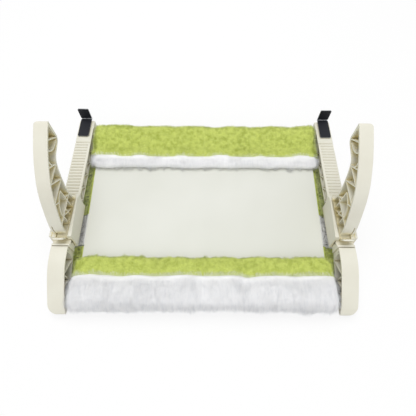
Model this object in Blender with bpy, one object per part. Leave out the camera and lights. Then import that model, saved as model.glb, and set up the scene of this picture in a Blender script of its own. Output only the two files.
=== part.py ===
"""Cat window hammock, lying on its plush side as it is packed and photographed.

Two moulded side brackets are joined by two steel rods. A plush cover goes round the rods
and carries a stiff board. In use the hammock is turned over: the toothed rails lie on the
window sill, the steel hooks grip behind it, and the two curved clamp arms slide along the
rails until they press under the sill, where a sprung tongue locks each of them in the teeth.

The rail frame has its origin where the top of the rails meets the plane of the hook tabs:
y runs from the nose to the hook, z stands up from the teeth. The bed frame is the world:
the plush lies on z = 0, and the rails lean a few degrees to it. Lengths are in metres.
"""

import math

import bmesh
import bpy
from mathutils import Matrix, Vector

# Fits and cuts
FACE_GAP = 0.0003            # between pieces that touch
RUNNING_GAP = 0.0004         # between the sleeve and the rail it slides on
OVERRUN = 0.002              # how far a cutter runs past what it cuts
FLAT_DEPTH = 0.0005          # how far soft padding is pressed flat by the surface below it

# Rail, the straight toothed length of each side bracket
BRACKET_OUTER_X = 0.240
RAIL_WIDTH = 0.028
RAIL_HEIGHT = 0.019
RAIL_END_SETBACK = 0.004     # from the plane of the hook tab to the end of the rail
RAIL_TOP_WALL = 0.0036
RAIL_FLOOR_WALL = 0.0028
RAIL_WEB = 0.0032
END_BLOCK_LENGTH = 0.047     # solid end that carries the hook and the rear rod
BORDER_WIDTH = 0.004         # plain edge beside the teeth
FIRST_TOOTH_SETBACK = 0.0548
RACK_END_MARGIN = 0.0100     # from the last possible groove to the stop bar
TOOTH_PITCH = 0.0062
TOOTH_GROOVE = 0.0030
TOOTH_DEPTH = 0.0017
TRUSS_PITCH = 0.0255
TRUSS_RIB = 0.0018

# Nose, the bow-shaped end of the bracket
STOP_SETBACK = 0.2580        # from the tab plane to the raised bar that stops the sleeve
STOP_LENGTH = 0.0032
STOP_HEIGHT = 0.0034
STOP_GROOVE = 0.0012
STRIP_RISE = 0.0030          # the nose strip stands this much above the teeth
NOSE_LENGTH = 0.0966         # from the front of the stop bar's groove to the end of the nose
NOSE_DROP = 0.0432           # from the top of the teeth to the lowest point of the nose
NOSE_SIDE_STEP = 0.0018      # the nose strip is this much narrower than the rail
NOSE_WALL = 0.0030
NOSE_RIB = 0.0020
NOSE_CORNER_RADIUS = 0.012
# shares of the nose length and drop, from the top of the strip round to the rail's underside
NOSE_TOP_SHARES = ((0.000, 0.000), (0.080, 0.002), (0.235, 0.018), (0.395, 0.108), (0.530, 0.240),
                   (0.670, 0.405), (0.810, 0.575), (0.925, 0.722))
NOSE_TIP_SHARES = ((0.985, 0.842), (1.000, 0.915), (0.975, 0.975), (0.930, 1.000))
NOSE_UNDER_SHARES = ((0.810, 0.998), (0.620, 0.945), (0.420, 0.850), (0.280, 0.765), (0.110, 0.655))
NOSE_POST_SHARES = (0.075, 0.455)          # upright ribs
NOSE_BRACE_SHARES = (((0.080, 0.700), (0.450, 0.150)), ((0.460, 0.660), (0.660, 0.330)))

# Rods that join the two brackets, places in the rail frame
ROD_RADIUS = 0.006
ROD_WALL = 0.0010
REAR_ROD_SETBACK = 0.0300
REAR_ROD_DROP = 0.0100
FRONT_ROD_SETBACK = 0.3330
FRONT_ROD_DROP = 0.0305
SOCKET_WALL = 0.0022
PLUG_LENGTH = 0.014
SCREW_RADIUS = 0.0015
SCREW_HEAD_RADIUS = 0.0030
SCREW_HEAD_DEPTH = 0.0009
ROD_SCREW_LENGTH = 0.013
ROUND_SIDES = 24
SMALL_ROUND_SIDES = 12

# Steel hook and its rubber pads
HOOK_WIDTH = 0.020
HOOK_INSET = 0.0025          # from the outer side of the rail to the strip
HOOK_THICKNESS = 0.0015
HOOK_FOOT_LENGTH = 0.0425
HOOK_TAB_HEIGHT = 0.0273
HOOK_CORNER_RADIUS = 0.0022
PAD_THICKNESS = 0.0008
PAD_BEND_GAP = 0.0009        # bare steel left at the bend
HOOK_SCREW_SETBACKS = {"rear": 0.0125, "front": 0.0388}
HOOK_SCREW_LENGTH = 0.009

# Clamp arm with its sleeve
SLEEVE_WALL = 0.0036
SLEEVE_FLOOR = 0.0030
SLEEVE_LENGTH = 0.0742
SLEEVE_STOP_CLEARANCE = 0.0054   # from the sleeve's front end to the stop bar
SLEEVE_TOP = 0.0080          # floor of the arm's lattice above the teeth
SLEEVE_RIDGE_REAR = 0.0180   # inner wall's height above the teeth, at both ends
SLEEVE_RIDGE_FRONT = 0.0120
SLEEVE_SHOULDER = 0.0016     # flat top of that wall
SLEEVE_EAR = 0.0095          # outer wall's height above the teeth
SLEEVE_LIP = 0.0072          # how far the rear end points towards the hook
SLEEVE_FRONT_LEAN = 0.0040   # how far the front end leans back from bottom to top
ARM_INSET = 0.0032           # from the outer side of the rail to the arm
ARM_WIDTH = 0.020
ARM_TIP_LEAD = 0.0488        # from the sleeve's rear end on to the face that presses on the wall
ARM_DEPTH = 0.1142
ARM_HEIGHT = 0.1412
ARM_FLANGE = 0.0030
ARM_WEB = 0.0030
ARM_RIB = 0.0018
ARM_CORNER_RADIUS = 0.0065
# shares of the arm's depth, from the tip face, and of its height
ARM_BACK_SHARES = ((0.000, 0.996), (0.020, 1.000), (0.058, 0.989), (0.213, 0.928), (0.423, 0.829),
                   (0.614, 0.703), (0.705, 0.624), (0.783, 0.534), (0.854, 0.428), (0.930, 0.302),
                   (0.974, 0.215), (1.000, 0.136), (1.000, 0.020))
ARM_THROAT_SHARES = ((0.430, 0.020), (0.440, 0.130), (0.452, 0.271), (0.411, 0.426), (0.371, 0.534),
                     (0.336, 0.606), (0.292, 0.665), (0.230, 0.698), (0.174, 0.708), (0.090, 0.722),
                     (0.030, 0.740), (0.000, 0.780))
# straight ribs of the lattice, each from one point to another in the same shares
ARM_RIB_SHARES = (
    ((0.20, 0.652), (0.75, 0.652)),
    ((0.35, 0.475), (0.95, 0.475)),
    ((0.35, 0.220), (1.05, 0.220)),
    ((0.427, 0.730), (0.427, 0.860)),
    ((0.577, -0.05), (0.577, 0.432)),
    ((0.708, -0.05), (0.708, 0.220)),
    ((0.827, -0.05), (0.827, 0.220)),
    ((-0.02, 0.744), (0.240, 0.936)),
    ((0.300, 0.625), (0.540, 0.800)),
    ((0.400, 0.460), (0.690, 0.680)),
    ((0.725, 0.395), (0.850, 0.490)),
    ((0.577, 0.040), (0.820, 0.225)),
    ((0.440, 0.190), (0.577, 0.290)),
)
ARCH_CENTRE_SHARE = (0.577, 0.220)         # quarter round beside the middle post
ARCH_RADIUS_SHARE = 0.2125                 # of the arm's height
TIP_ARC_CENTRE_SHARE = (0.144, 0.922)      # round behind the pressing face
TIP_ARC_RADIUS_SHARE = 0.1558
ARC_STEPS = 7

# Release tongue, a sprung latch moulded into the sleeve
TONGUE_ROOT_DEPTH = 0.0478    # from the sleeve's rear end
TONGUE_LENGTH = 0.0248
TOOTH_END_MARGIN = 0.0030    # least distance from the tongue's tooth to the lip
TONGUE_SIDE_GAP = 0.0007
TONGUE_THICKNESS = 0.0028
TONGUE_HEIGHT = 0.0036       # underside above the teeth
TONGUE_WINDOW = 0.0050       # height of the window that it passes through, above the arm's floor
TONGUE_SLIT = 0.0012         # width of the slit that runs up the arm's back beside it
TONGUE_SLIT_TOP = 0.0300     # its end above the teeth
LIP_LEAN = 0.0065
LIP_RISE = 0.0115
PAWL_WIDTH_SHARE = 0.6       # share of the tongue's width that carries the tooth

# Bed: board and plush cover, in the bed frame
REAR_ROLL_RADIUS = 0.020
FRONT_ROLL_RADIUS = 0.022
REAR_ROLL_CLEARANCE = 0.0035 # from the sleeves to the ends of the soft pieces and the board
FRONT_ROLL_CLEARANCE = 0.0050
MAT_CLEARANCE = 0.0025
BOARD_CLEARANCE = 0.0080
BOARD_TOP = 0.0190
BOARD_THICKNESS = 0.0045
BOARD_CORNER = 0.008
BOARD_ROD_CLEARANCE = 0.0120 # from a rod's surface to the edge of the board
REAR_HEM_REACH = 0.0765      # from the rear rod to the hem
REAR_SEAM_REACH = 0.0520     # from the rear rod to the change of colour
FRONT_HEM_REACH = 0.0615
FRONT_SEAM_REACH = 0.0290
HEM_THICKNESS = 0.0110
HEM_WAVE = 0.0018            # how far the hems wander
SEAM_WAVE = 0.0014
ROLL_SWELL = 0.0007          # how far the rolls' height wanders
WAVE_LENGTH = 0.072
WAVE_MIX_SHARES = ((1, 1, 1), (0.41, 0.6, 2), (1.9, 0.35, 0))    # of pitch, size and phase
MAT_GREEN_REACH = 0.1615     # from the rear rod to the first change of colour under the mat
MAT_WHITE_LENGTH = 0.0562
MAT_SEAM_DEPTH = 0.0022      # how far the mat draws in at its seams
MAT_SEAM_WIDTH = 0.009
ROLL_STATIONS = 20
MAT_STATIONS = 10
ROLL_TOP_SHARES = (1, 0.8, 0.6, 0.4, 0.2)  # from the seam back to the rod
ROLL_ROUND_STEPS = 10
HEM_ROUND_STEPS = 5
END_TAPER = 0.012            # length over which a soft piece draws in at its ends
END_TAPER_SHARES = (0, 0.08, 0.3, 0.6)
END_DRAW = 0.0030            # how far it draws in

# Colours
CREAM = (0.80, 0.78, 0.68, 1.0)
HOOK_STEEL = (0.55, 0.55, 0.55, 1.0)
PAD_BLACK = (0.02, 0.02, 0.025, 1.0)
ROD_STEEL = (0.62, 0.62, 0.62, 1.0)
PLUG_GREY = (0.25, 0.25, 0.25, 1.0)
BOARD_WHITE = (0.74, 0.75, 0.66, 1.0)
PLUSH_GREEN = (0.48, 0.58, 0.10, 1.0)
PLUSH_WHITE = (0.86, 0.86, 0.88, 1.0)

# Sizes that follow from the ones above
RAIL_INNER_X = BRACKET_OUTER_X - RAIL_WIDTH
RAIL_WEB_X = BRACKET_OUTER_X - RAIL_WEB
NOSE_START = -(STOP_SETBACK + STOP_LENGTH + STOP_GROOVE)
NOSE_END = NOSE_START - NOSE_LENGTH
ARM_OUTER_X = BRACKET_OUTER_X - ARM_INSET
ARM_INNER_X = ARM_OUTER_X - ARM_WIDTH
ARM_WEB_X = ARM_OUTER_X - ARM_WEB
SLEEVE_INNER_X = RAIL_INNER_X - RUNNING_GAP - SLEEVE_WALL
SLEEVE_OUTER_X = BRACKET_OUTER_X + RUNNING_GAP + SLEEVE_WALL
SLEEVE_FRONT = -STOP_SETBACK + SLEEVE_STOP_CLEARANCE
SLEEVE_REAR = SLEEVE_FRONT + SLEEVE_LENGTH
SLEEVE_BOTTOM = -RAIL_HEIGHT - RUNNING_GAP - SLEEVE_FLOOR
HOOK_OUTER_X = BRACKET_OUTER_X - HOOK_INSET
HOOK_INNER_X = HOOK_OUTER_X - HOOK_WIDTH
ARM_TIP = SLEEVE_REAR + ARM_TIP_LEAD
TONGUE_ROOT = SLEEVE_REAR - TONGUE_ROOT_DEPTH
TONGUE_END = TONGUE_ROOT - TONGUE_LENGTH
TONGUE_INNER_X = ARM_INNER_X + TONGUE_SIDE_GAP
TONGUE_OUTER_X = ARM_WEB_X - TONGUE_SIDE_GAP
TOOTH_COUNT = int((STOP_SETBACK - RACK_END_MARGIN - FIRST_TOOTH_SETBACK) / TOOTH_PITCH) + 1
# the groove that the tongue's tooth sits in at rest
LOCKED_TOOTH = int((-TONGUE_END - TOOTH_END_MARGIN - FIRST_TOOTH_SETBACK) / TOOTH_PITCH)
LOCKED_Y = -(FIRST_TOOTH_SETBACK + LOCKED_TOOTH * TOOTH_PITCH)
REAR_ROD = (-REAR_ROD_SETBACK, -REAR_ROD_DROP)
FRONT_ROD = (-FRONT_ROD_SETBACK, -FRONT_ROD_DROP)
ROD_SPACING = math.dist(REAR_ROD, FRONT_ROD)
# the bed rests on both rolls, so the rails lean by the rods' slope and the rolls' difference
LEAN = (math.asin((FRONT_ROD_DROP - REAR_ROD_DROP) / ROD_SPACING)
        + math.asin((FRONT_ROLL_RADIUS - REAR_ROLL_RADIUS) / ROD_SPACING))


def lean(y, z):
    """Turn a rail-frame place (y, z) to the bed's directions, before the shift to the origin."""
    return (y * math.cos(LEAN) + z * math.sin(LEAN), z * math.cos(LEAN) - y * math.sin(LEAN))


FAR_REACH = lean(FACE_GAP + HOOK_THICKNESS, HOOK_TAB_HEIGHT)[0]
NEAR_REACH = lean(NOSE_END, -NOSE_DROP * NOSE_TIP_SHARES[1][1])[0]
ORIGIN_Y = -(FAR_REACH + NEAR_REACH) / 2
ORIGIN_Z = REAR_ROLL_RADIUS - FLAT_DEPTH - lean(*REAR_ROD)[1]
REAR_ROD_Y = ORIGIN_Y + lean(*REAR_ROD)[0]
FRONT_ROD_Y = ORIGIN_Y + lean(*FRONT_ROD)[0]
BOARD_REAR = REAR_ROD_Y - ROD_RADIUS - BOARD_ROD_CLEARANCE
BOARD_FRONT = FRONT_ROD_Y + ROD_RADIUS + BOARD_ROD_CLEARANCE
BOARD_BOTTOM = BOARD_TOP - BOARD_THICKNESS
REAR_ROLL_HALF = SLEEVE_INNER_X - REAR_ROLL_CLEARANCE
FRONT_ROLL_HALF = SLEEVE_INNER_X - FRONT_ROLL_CLEARANCE
MAT_HALF = SLEEVE_INNER_X - MAT_CLEARANCE
BOARD_HALF = SLEEVE_INNER_X - BOARD_CLEARANCE


def clear_scene():
    for item in list(bpy.data.objects):
        bpy.data.objects.remove(item, do_unlink=True)


def material(name, colour, roughness, metallic=0.0):
    """A Principled material, made once and shared by the pieces of one kind."""
    found = bpy.data.materials.get(name)
    if found:
        return found
    made = bpy.data.materials.new(name)
    made.use_nodes = True
    shader = made.node_tree.nodes["Principled BSDF"]
    shader.inputs["Base Color"].default_value = colour
    shader.inputs["Roughness"].default_value = roughness
    shader.inputs["Metallic"].default_value = metallic
    made.diffuse_color = colour
    return made


def new_object(name, build_mesh, parent=None, finish=None):
    """Link an object whose mesh comes from a bmesh with its faces turned outwards."""
    bmesh.ops.recalc_face_normals(build_mesh, faces=build_mesh.faces)
    mesh = bpy.data.meshes.new(name)
    build_mesh.to_mesh(mesh)
    build_mesh.free()
    item = bpy.data.objects.new(name, mesh)
    bpy.context.collection.objects.link(item)
    item.parent = parent
    if finish:
        mesh.materials.append(finish)
    return item


def add_prism(work, outline, low, high, axis="x"):
    """Add a closed outline, drawn on the two other axes in order, extruded from low to high."""
    def place(step, first, second):
        return {"x": (step, first, second), "y": (first, step, second), "z": (first, second, step)}[axis]

    lower = [work.verts.new(place(low, *point)) for point in outline]
    upper = [work.verts.new(place(high, *point)) for point in outline]
    work.faces.new(lower)
    work.faces.new(upper)
    skin(work, [lower, upper])


def skin(work, rings, closed=False):
    """Add the faces between following rings of equal length, and back to the first if closed."""
    count = len(rings[0])
    for one, two in zip(rings, [*rings[1:], *(rings[:1] if closed else [])]):
        for i in range(count):
            j = (i + 1) % count
            work.faces.new((one[i], one[j], two[j], two[i]))


def prism(outline, low, high, axis="x"):
    work = bmesh.new()
    add_prism(work, outline, low, high, axis)
    return work


def rectangle(a0, a1, b0, b1):
    return ((a0, b0), (a1, b0), (a1, b1), (a0, b1))


def circle(centre, radius, sides):
    return [(centre[0] + radius * math.cos(2 * math.pi * i / sides),
             centre[1] + radius * math.sin(2 * math.pi * i / sides)) for i in range(sides)]


def arc(centre, radius, start, end, steps):
    """Points of an arc, angles in degrees."""
    angles = [math.radians(start + (end - start) * i / steps) for i in range(steps + 1)]
    return [(centre[0] + radius * math.cos(a), centre[1] + radius * math.sin(a)) for a in angles]


def rounded_rectangle(a0, a1, b0, b1, radius, steps=4):
    corners = (((a1 - radius, b1 - radius), 0), ((a0 + radius, b1 - radius), 90),
               ((a0 + radius, b0 + radius), 180), ((a1 - radius, b0 + radius), 270))
    points = []
    for centre, start in corners:
        points += arc(centre, radius, start, start + 90, steps)
    return points


def smooth(points, steps=3):
    """A Catmull-Rom curve through the points, with the first and last kept as ends."""
    line = [points[0], *points, points[-1]]
    curve = []
    for a, b, c, d in zip(line, line[1:], line[2:], line[3:]):
        for i in range(steps):
            t = i / steps
            curve.append(tuple(0.5 * (2 * q + (r - p) * t + (2 * p - 5 * q + 4 * r - s) * t * t
                                      + (3 * q - p - 3 * r + s) * t ** 3)
                               for p, q, r, s in zip(a, b, c, d)))
    return curve + [points[-1]]


def signed_area(outline):
    closed = zip(outline, [*outline[1:], outline[0]])
    return sum(a[0] * b[1] - b[0] * a[1] for a, b in closed) / 2


def reach(point, outline):
    """The least distance from a point to a closed outline."""
    least = math.inf
    for start, end in zip(outline, [*outline[1:], outline[0]]):
        run, away = Vector(end) - Vector(start), Vector(point) - Vector(start)
        along = min(1, max(0, away.dot(run) / run.length_squared))
        least = min(least, (away - run * along).length)
    return least


def inset(outline, distance):
    """The outline moved inwards by one distance, each corner along its mitre."""
    turn = math.copysign(1, signed_area(outline))
    moved = []
    for i, here in enumerate(outline):
        before = Vector(here) - Vector(outline[i - 1])
        after = Vector(outline[(i + 1) % len(outline)]) - Vector(here)
        one = Vector((-before.y, before.x)).normalized() * turn
        two = Vector((-after.y, after.x)).normalized() * turn
        middle = (one + two).normalized()
        moved.append(tuple(Vector(here) + middle * distance / middle.dot(one)))
    return [point for point in moved if reach(point, outline) > 0.98 * distance]


def bar(start, end, thickness):
    """The outline of a straight rib between two points."""
    run = Vector(end) - Vector(start)
    side = Vector((-run.y, run.x)).normalized() * thickness / 2
    first, last = Vector(start), Vector(end)
    return [tuple(first + side), tuple(last + side), tuple(last - side), tuple(first - side)]


def band(points, thickness):
    """The outline of a rib that follows a run of points."""
    left, right = [], []
    for i, here in enumerate(points):
        run = Vector(points[min(i + 1, len(points) - 1)]) - Vector(points[max(i - 1, 0)])
        side = Vector((-run.y, run.x)).normalized() * thickness / 2
        left.append(tuple(Vector(here) + side))
        right.append(tuple(Vector(here) - side))
    return left + right[::-1]


def turned(origin, axis, profile, sides, hollow=False):
    """A solid of revolution: profile gives places along the axis and radii there.

    A hollow one is a closed ring: its profile comes back to where it starts.
    """
    work = bmesh.new()
    rings = []
    for along, radius in profile:
        places = ({"x": (along, a, b), "z": (a, b, along)}[axis] for a, b in circle((0, 0), radius, sides))
        rings.append([work.verts.new(Vector(origin) + Vector(place)) for place in places])
    if not hollow:
        work.faces.new(rings[0])
        work.faces.new(rings[-1])
    skin(work, rings, hollow)
    return work


def combine(item, other, operation):
    """Join or cut one object with another that only guides the shape."""
    step = item.modifiers.new(other.name, "BOOLEAN")
    step.operation = operation
    step.solver = "EXACT"
    step.object = other
    other.hide_render = True
    other.display_type = "WIRE"
    other.hide_set(True)


def guide(name, work, parent):
    """A shape that is only used to join or cut another."""
    item = new_object(name, work, parent)
    item.hide_render = True
    item.display_type = "WIRE"
    return item


def across(side, low, high):
    """An x range on one side of the hammock, low and high measured outwards."""
    return (side * low, side * high)


def seat_origin(item, origin):
    """Move an object's origin, on its joint's axis, without moving its shape."""
    item.data.transform(Matrix.Translation(-Vector(origin)))
    item.location = origin


def shade(item, angle=30):
    item.data.shade_smooth()
    item.data.set_sharp_from_angle(angle=math.radians(angle))


# Side bracket

def nose_point(share):
    """A share of the nose's length and drop as a rail-frame place."""
    return (NOSE_START - NOSE_LENGTH * share[0], STRIP_RISE - (NOSE_DROP + STRIP_RISE) * share[1])


def bracket_outline():
    """Rail, stop bar and bow-shaped nose, from the hook end round and back."""
    stop = -STOP_SETBACK
    top = [(-RAIL_END_SETBACK, 0), (stop, 0), (stop, STOP_HEIGHT), (stop - STOP_LENGTH, STOP_HEIGHT),
           (stop - STOP_LENGTH, STRIP_RISE - STOP_GROOVE), (NOSE_START, STRIP_RISE - STOP_GROOVE)]
    bow = smooth([nose_point(share) for share in NOSE_TOP_SHARES], 2)
    tip = smooth([nose_point(share) for share in NOSE_TIP_SHARES], 2)
    under = smooth([nose_point(share) for share in NOSE_UNDER_SHARES], 2)
    return top + bow + tip + under + [(stop + STOP_LENGTH, -RAIL_HEIGHT), (-RAIL_END_SETBACK, -RAIL_HEIGHT)]


def nose_cavity():
    """The hollow of the nose, inside its walls."""
    top = smooth([nose_point(share) for share in NOSE_TOP_SHARES], 2)
    tip = smooth([nose_point(share) for share in NOSE_TIP_SHARES], 2)
    under = smooth([nose_point(share) for share in NOSE_UNDER_SHARES], 2)
    return inset(top + tip + under, NOSE_WALL)


def rail_hollows(side, parent):
    """Triangular pockets between the zigzag ribs of the rail, open to the inner side."""
    work = bmesh.new()
    levels = (-RAIL_TOP_WALL + TRUSS_RIB / 2, -RAIL_HEIGHT + RAIL_FLOOR_WALL - TRUSS_RIB / 2)
    start = -RAIL_END_SETBACK - END_BLOCK_LENGTH
    count = 2 * int((STOP_SETBACK + start) / TRUSS_PITCH)
    step = (STOP_SETBACK + start) / count
    joints = [(start - i * step, levels[i % 2]) for i in range(count + 1)]
    for pocket in zip(joints, joints[1:], joints[2:]):
        add_prism(work, inset(pocket, TRUSS_RIB / 2), *across(side, RAIL_INNER_X - OVERRUN, RAIL_WEB_X))
    return guide("rail_hollows", work, parent)


def groove_cutter(side, parent):
    """The grooves of the rack: an upright wall towards the nose and a slope behind it."""
    work = bmesh.new()
    for i in range(TOOTH_COUNT):
        y = -FIRST_TOOTH_SETBACK - i * TOOTH_PITCH
        front, rear = y - TOOTH_GROOVE / 2, y + TOOTH_GROOVE / 2
        inner = RAIL_INNER_X - OVERRUN if i == 0 else RAIL_INNER_X + BORDER_WIDTH
        slope_end = rear + (rear - front) * OVERRUN / TOOTH_DEPTH
        outline = ((front, -TOOTH_DEPTH), (front, OVERRUN), (slope_end, OVERRUN),
                   (front + TOOTH_GROOVE / 4, -TOOTH_DEPTH))
        add_prism(work, outline, *across(side, inner, BRACKET_OUTER_X + OVERRUN))
    return guide("groove_cutter", work, parent)


def nose_hollows(side, parent):
    """The nose's pockets: its whole hollow, less posts, braces and the rod socket."""
    x_range = across(side, RAIL_INNER_X - OVERRUN, RAIL_WEB_X)
    hollow = guide("nose_hollow", prism(nose_cavity(), *x_range), parent)
    wide = across(side, RAIL_INNER_X - 2 * OVERRUN, RAIL_WEB_X + OVERRUN)
    for i, share in enumerate(NOSE_POST_SHARES):
        top, foot = nose_point((share, -0.1)), nose_point((share, 1.1))
        post = prism(bar(top, foot, NOSE_RIB), *wide)
        combine(hollow, guide(f"nose_post_{i}", post, parent), "DIFFERENCE")
    for i, (start, end) in enumerate(NOSE_BRACE_SHARES):
        outline = bar(nose_point(start), nose_point(end), NOSE_RIB)
        combine(hollow, guide(f"nose_brace_{i}", prism(outline, *wide), parent), "DIFFERENCE")
    socket = circle(FRONT_ROD, ROD_RADIUS + FACE_GAP + SOCKET_WALL, ROUND_SIDES)
    combine(hollow, guide("front_socket", prism(socket, *wide), parent), "DIFFERENCE")
    return hollow


def corner_cutter(name, parent, corner, radius, axis, low, high, signs):
    """What lies outside a round corner: a square with a quarter disc left out."""
    across_sign, along_sign = signs
    centre = (corner[0] - across_sign * radius, corner[1] - along_sign * radius)
    points = [(centre[0] + across_sign * radius * math.cos(a), centre[1] + along_sign * radius * math.sin(a))
              for a in (math.pi / 2 * i / 6 for i in range(7))]
    far = (corner[0] + across_sign * OVERRUN, corner[1] + along_sign * OVERRUN)
    outline = [(far[0], points[0][1]), *points, (points[-1][0], far[1]), far]
    return guide(name, prism(outline, low, high, axis), parent)


def side_bracket(name, side, rail_frame):
    """One moulding: toothed rail with a trussed web, end block, stop bar and lattice nose."""
    item = new_object(name, prism(bracket_outline(), *across(side, RAIL_INNER_X, BRACKET_OUTER_X)),
                      rail_frame, material("cream_plastic", CREAM, 0.42))
    step = rectangle(NOSE_END - OVERRUN, NOSE_START, -NOSE_DROP - OVERRUN, STRIP_RISE + OVERRUN)
    step_range = across(side, RAIL_INNER_X - OVERRUN, RAIL_INNER_X + NOSE_SIDE_STEP)
    narrow = guide("nose_step", prism(step, *step_range), rail_frame)
    combine(item, narrow, "DIFFERENCE")
    combine(item, rail_hollows(side, rail_frame), "DIFFERENCE")
    combine(item, nose_hollows(side, rail_frame), "DIFFERENCE")
    combine(item, groove_cutter(side, rail_frame), "DIFFERENCE")
    corner = corner_cutter("nose_corner", rail_frame, (side * BRACKET_OUTER_X, NOSE_END), NOSE_CORNER_RADIUS,
                           "z", -NOSE_DROP - OVERRUN, STRIP_RISE + OVERRUN, (side, -1))
    combine(item, corner, "DIFFERENCE")
    bores = bmesh.new()
    for rod in (REAR_ROD, FRONT_ROD):
        add_prism(bores, circle(rod, ROD_RADIUS + FACE_GAP, ROUND_SIDES),
                  *across(side, RAIL_INNER_X - OVERRUN, RAIL_WEB_X))
    combine(item, guide("rod_bores", bores, rail_frame), "DIFFERENCE")
    recess = BRACKET_OUTER_X - SCREW_HEAD_DEPTH - FACE_GAP
    for word, radius, start in (("shank", SCREW_RADIUS, RAIL_WEB_X - OVERRUN), ("head", SCREW_HEAD_RADIUS, recess)):
        holes = bmesh.new()
        for rod in (REAR_ROD, FRONT_ROD):
            outline = circle(rod, radius + FACE_GAP, SMALL_ROUND_SIDES)
            add_prism(holes, outline, *across(side, start, BRACKET_OUTER_X + OVERRUN))
        combine(item, guide(f"rod_{word}_holes", holes, rail_frame), "DIFFERENCE")
    pilots = bmesh.new()
    for setback in HOOK_SCREW_SETBACKS.values():
        centre = (side * (HOOK_OUTER_X - HOOK_WIDTH / 2), -setback)
        add_prism(pilots, circle(centre, SCREW_RADIUS + FACE_GAP, SMALL_ROUND_SIDES),
                  -HOOK_SCREW_LENGTH - FACE_GAP, OVERRUN, "z")
    combine(item, guide("hook_pilots", pilots, rail_frame), "DIFFERENCE")
    shade(item)
    return item


# Hook

def hook_plate(name, side, rail_frame):
    """A bent steel strip: a foot screwed to the rail and a tab that stands behind the sill."""
    low, high = FACE_GAP, FACE_GAP + HOOK_THICKNESS
    outline = ((-HOOK_FOOT_LENGTH, low), (high, low), (high, HOOK_TAB_HEIGHT), (FACE_GAP, HOOK_TAB_HEIGHT),
               (FACE_GAP, high), (-HOOK_FOOT_LENGTH, high))
    item = new_object(name, prism(outline, *across(side, HOOK_INNER_X, HOOK_OUTER_X)),
                      rail_frame, material("hook_steel", HOOK_STEEL, 0.35, 1.0))
    for i, x in enumerate((HOOK_INNER_X, HOOK_OUTER_X)):
        sign = side if i else -side
        foot = corner_cutter(f"foot_corner_{i}", rail_frame, (side * x, -HOOK_FOOT_LENGTH),
                             HOOK_CORNER_RADIUS, "z", -OVERRUN, high + OVERRUN, (sign, -1))
        combine(item, foot, "DIFFERENCE")
        tab = corner_cutter(f"tab_corner_{i}", rail_frame, (side * x, HOOK_TAB_HEIGHT), HOOK_CORNER_RADIUS,
                            "y", -OVERRUN, high + OVERRUN, (sign, 1))
        combine(item, tab, "DIFFERENCE")
    recess = high - SCREW_HEAD_DEPTH - FACE_GAP
    for word, radius, start in (("shank", SCREW_RADIUS, -OVERRUN), ("head", SCREW_HEAD_RADIUS, recess)):
        holes = bmesh.new()
        for setback in HOOK_SCREW_SETBACKS.values():
            centre = (side * (HOOK_OUTER_X - HOOK_WIDTH / 2), -setback)
            outline = circle(centre, radius + FACE_GAP, SMALL_ROUND_SIDES)
            add_prism(holes, outline, start, high + OVERRUN, "z")
        combine(item, guide(f"hook_{word}_holes", holes, rail_frame), "DIFFERENCE")
    return item


def hook_foot_pad(name, side, rail_frame):
    """Thin rubber on the foot, towards the sill."""
    low = 2 * FACE_GAP + HOOK_THICKNESS
    x0, x1 = sorted(across(side, HOOK_INNER_X, HOOK_OUTER_X))
    outline = rounded_rectangle(x0, x1, -HOOK_FOOT_LENGTH, -PAD_THICKNESS - PAD_BEND_GAP, HOOK_CORNER_RADIUS)
    return new_object(name, prism(outline, low, low + PAD_THICKNESS, "z"), rail_frame,
                      material("pad_rubber", PAD_BLACK, 0.7))


def hook_tab_pad(name, side, rail_frame):
    """Thin rubber on the tab, towards the sill."""
    low = 2 * FACE_GAP + HOOK_THICKNESS + PAD_THICKNESS + PAD_BEND_GAP
    x0, x1 = sorted(across(side, HOOK_INNER_X, HOOK_OUTER_X))
    outline = rounded_rectangle(x0, x1, low, HOOK_TAB_HEIGHT, HOOK_CORNER_RADIUS)
    return new_object(name, prism(outline, -PAD_THICKNESS, 0, "y"), rail_frame,
                      material("pad_rubber", PAD_BLACK, 0.7))


def hook_screw(name, side, setback, rail_frame):
    """A flat-headed screw, flush in the foot and driven into the end block."""
    top = FACE_GAP + HOOK_THICKNESS
    profile = ((-HOOK_SCREW_LENGTH, SCREW_RADIUS), (top - SCREW_HEAD_DEPTH, SCREW_RADIUS),
               (top - SCREW_HEAD_DEPTH, SCREW_HEAD_RADIUS), (top, SCREW_HEAD_RADIUS))
    centre = (side * (HOOK_OUTER_X - HOOK_WIDTH / 2), -setback, 0)
    return new_object(name, turned(centre, "z", profile, SMALL_ROUND_SIDES), rail_frame,
                      material("screw_steel", ROD_STEEL, 0.3, 1.0))


# Clamp arm

def arm_point(share):
    """A share of the arm's depth and height as a rail-frame place."""
    return (ARM_TIP - ARM_DEPTH * share[0], ARM_HEIGHT * share[1])


def arm_outline():
    back = smooth([arm_point(share) for share in ARM_BACK_SHARES], 2)
    throat = smooth([arm_point(share) for share in ARM_THROAT_SHARES], 2)
    return back + throat


def sleeve_section():
    """The sleeve cut across the rail: shoulder towards the bed, ear on the outer side."""
    ear_inner = BRACKET_OUTER_X + RUNNING_GAP
    return ((SLEEVE_INNER_X, SLEEVE_BOTTOM), (SLEEVE_OUTER_X, SLEEVE_BOTTOM), (SLEEVE_OUTER_X, SLEEVE_EAR),
            (ear_inner, SLEEVE_EAR), (ear_inner, SLEEVE_TOP), (ARM_INNER_X, SLEEVE_TOP),
            (SLEEVE_INNER_X + SLEEVE_SHOULDER, SLEEVE_RIDGE_REAR), (SLEEVE_INNER_X, SLEEVE_RIDGE_REAR))


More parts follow.
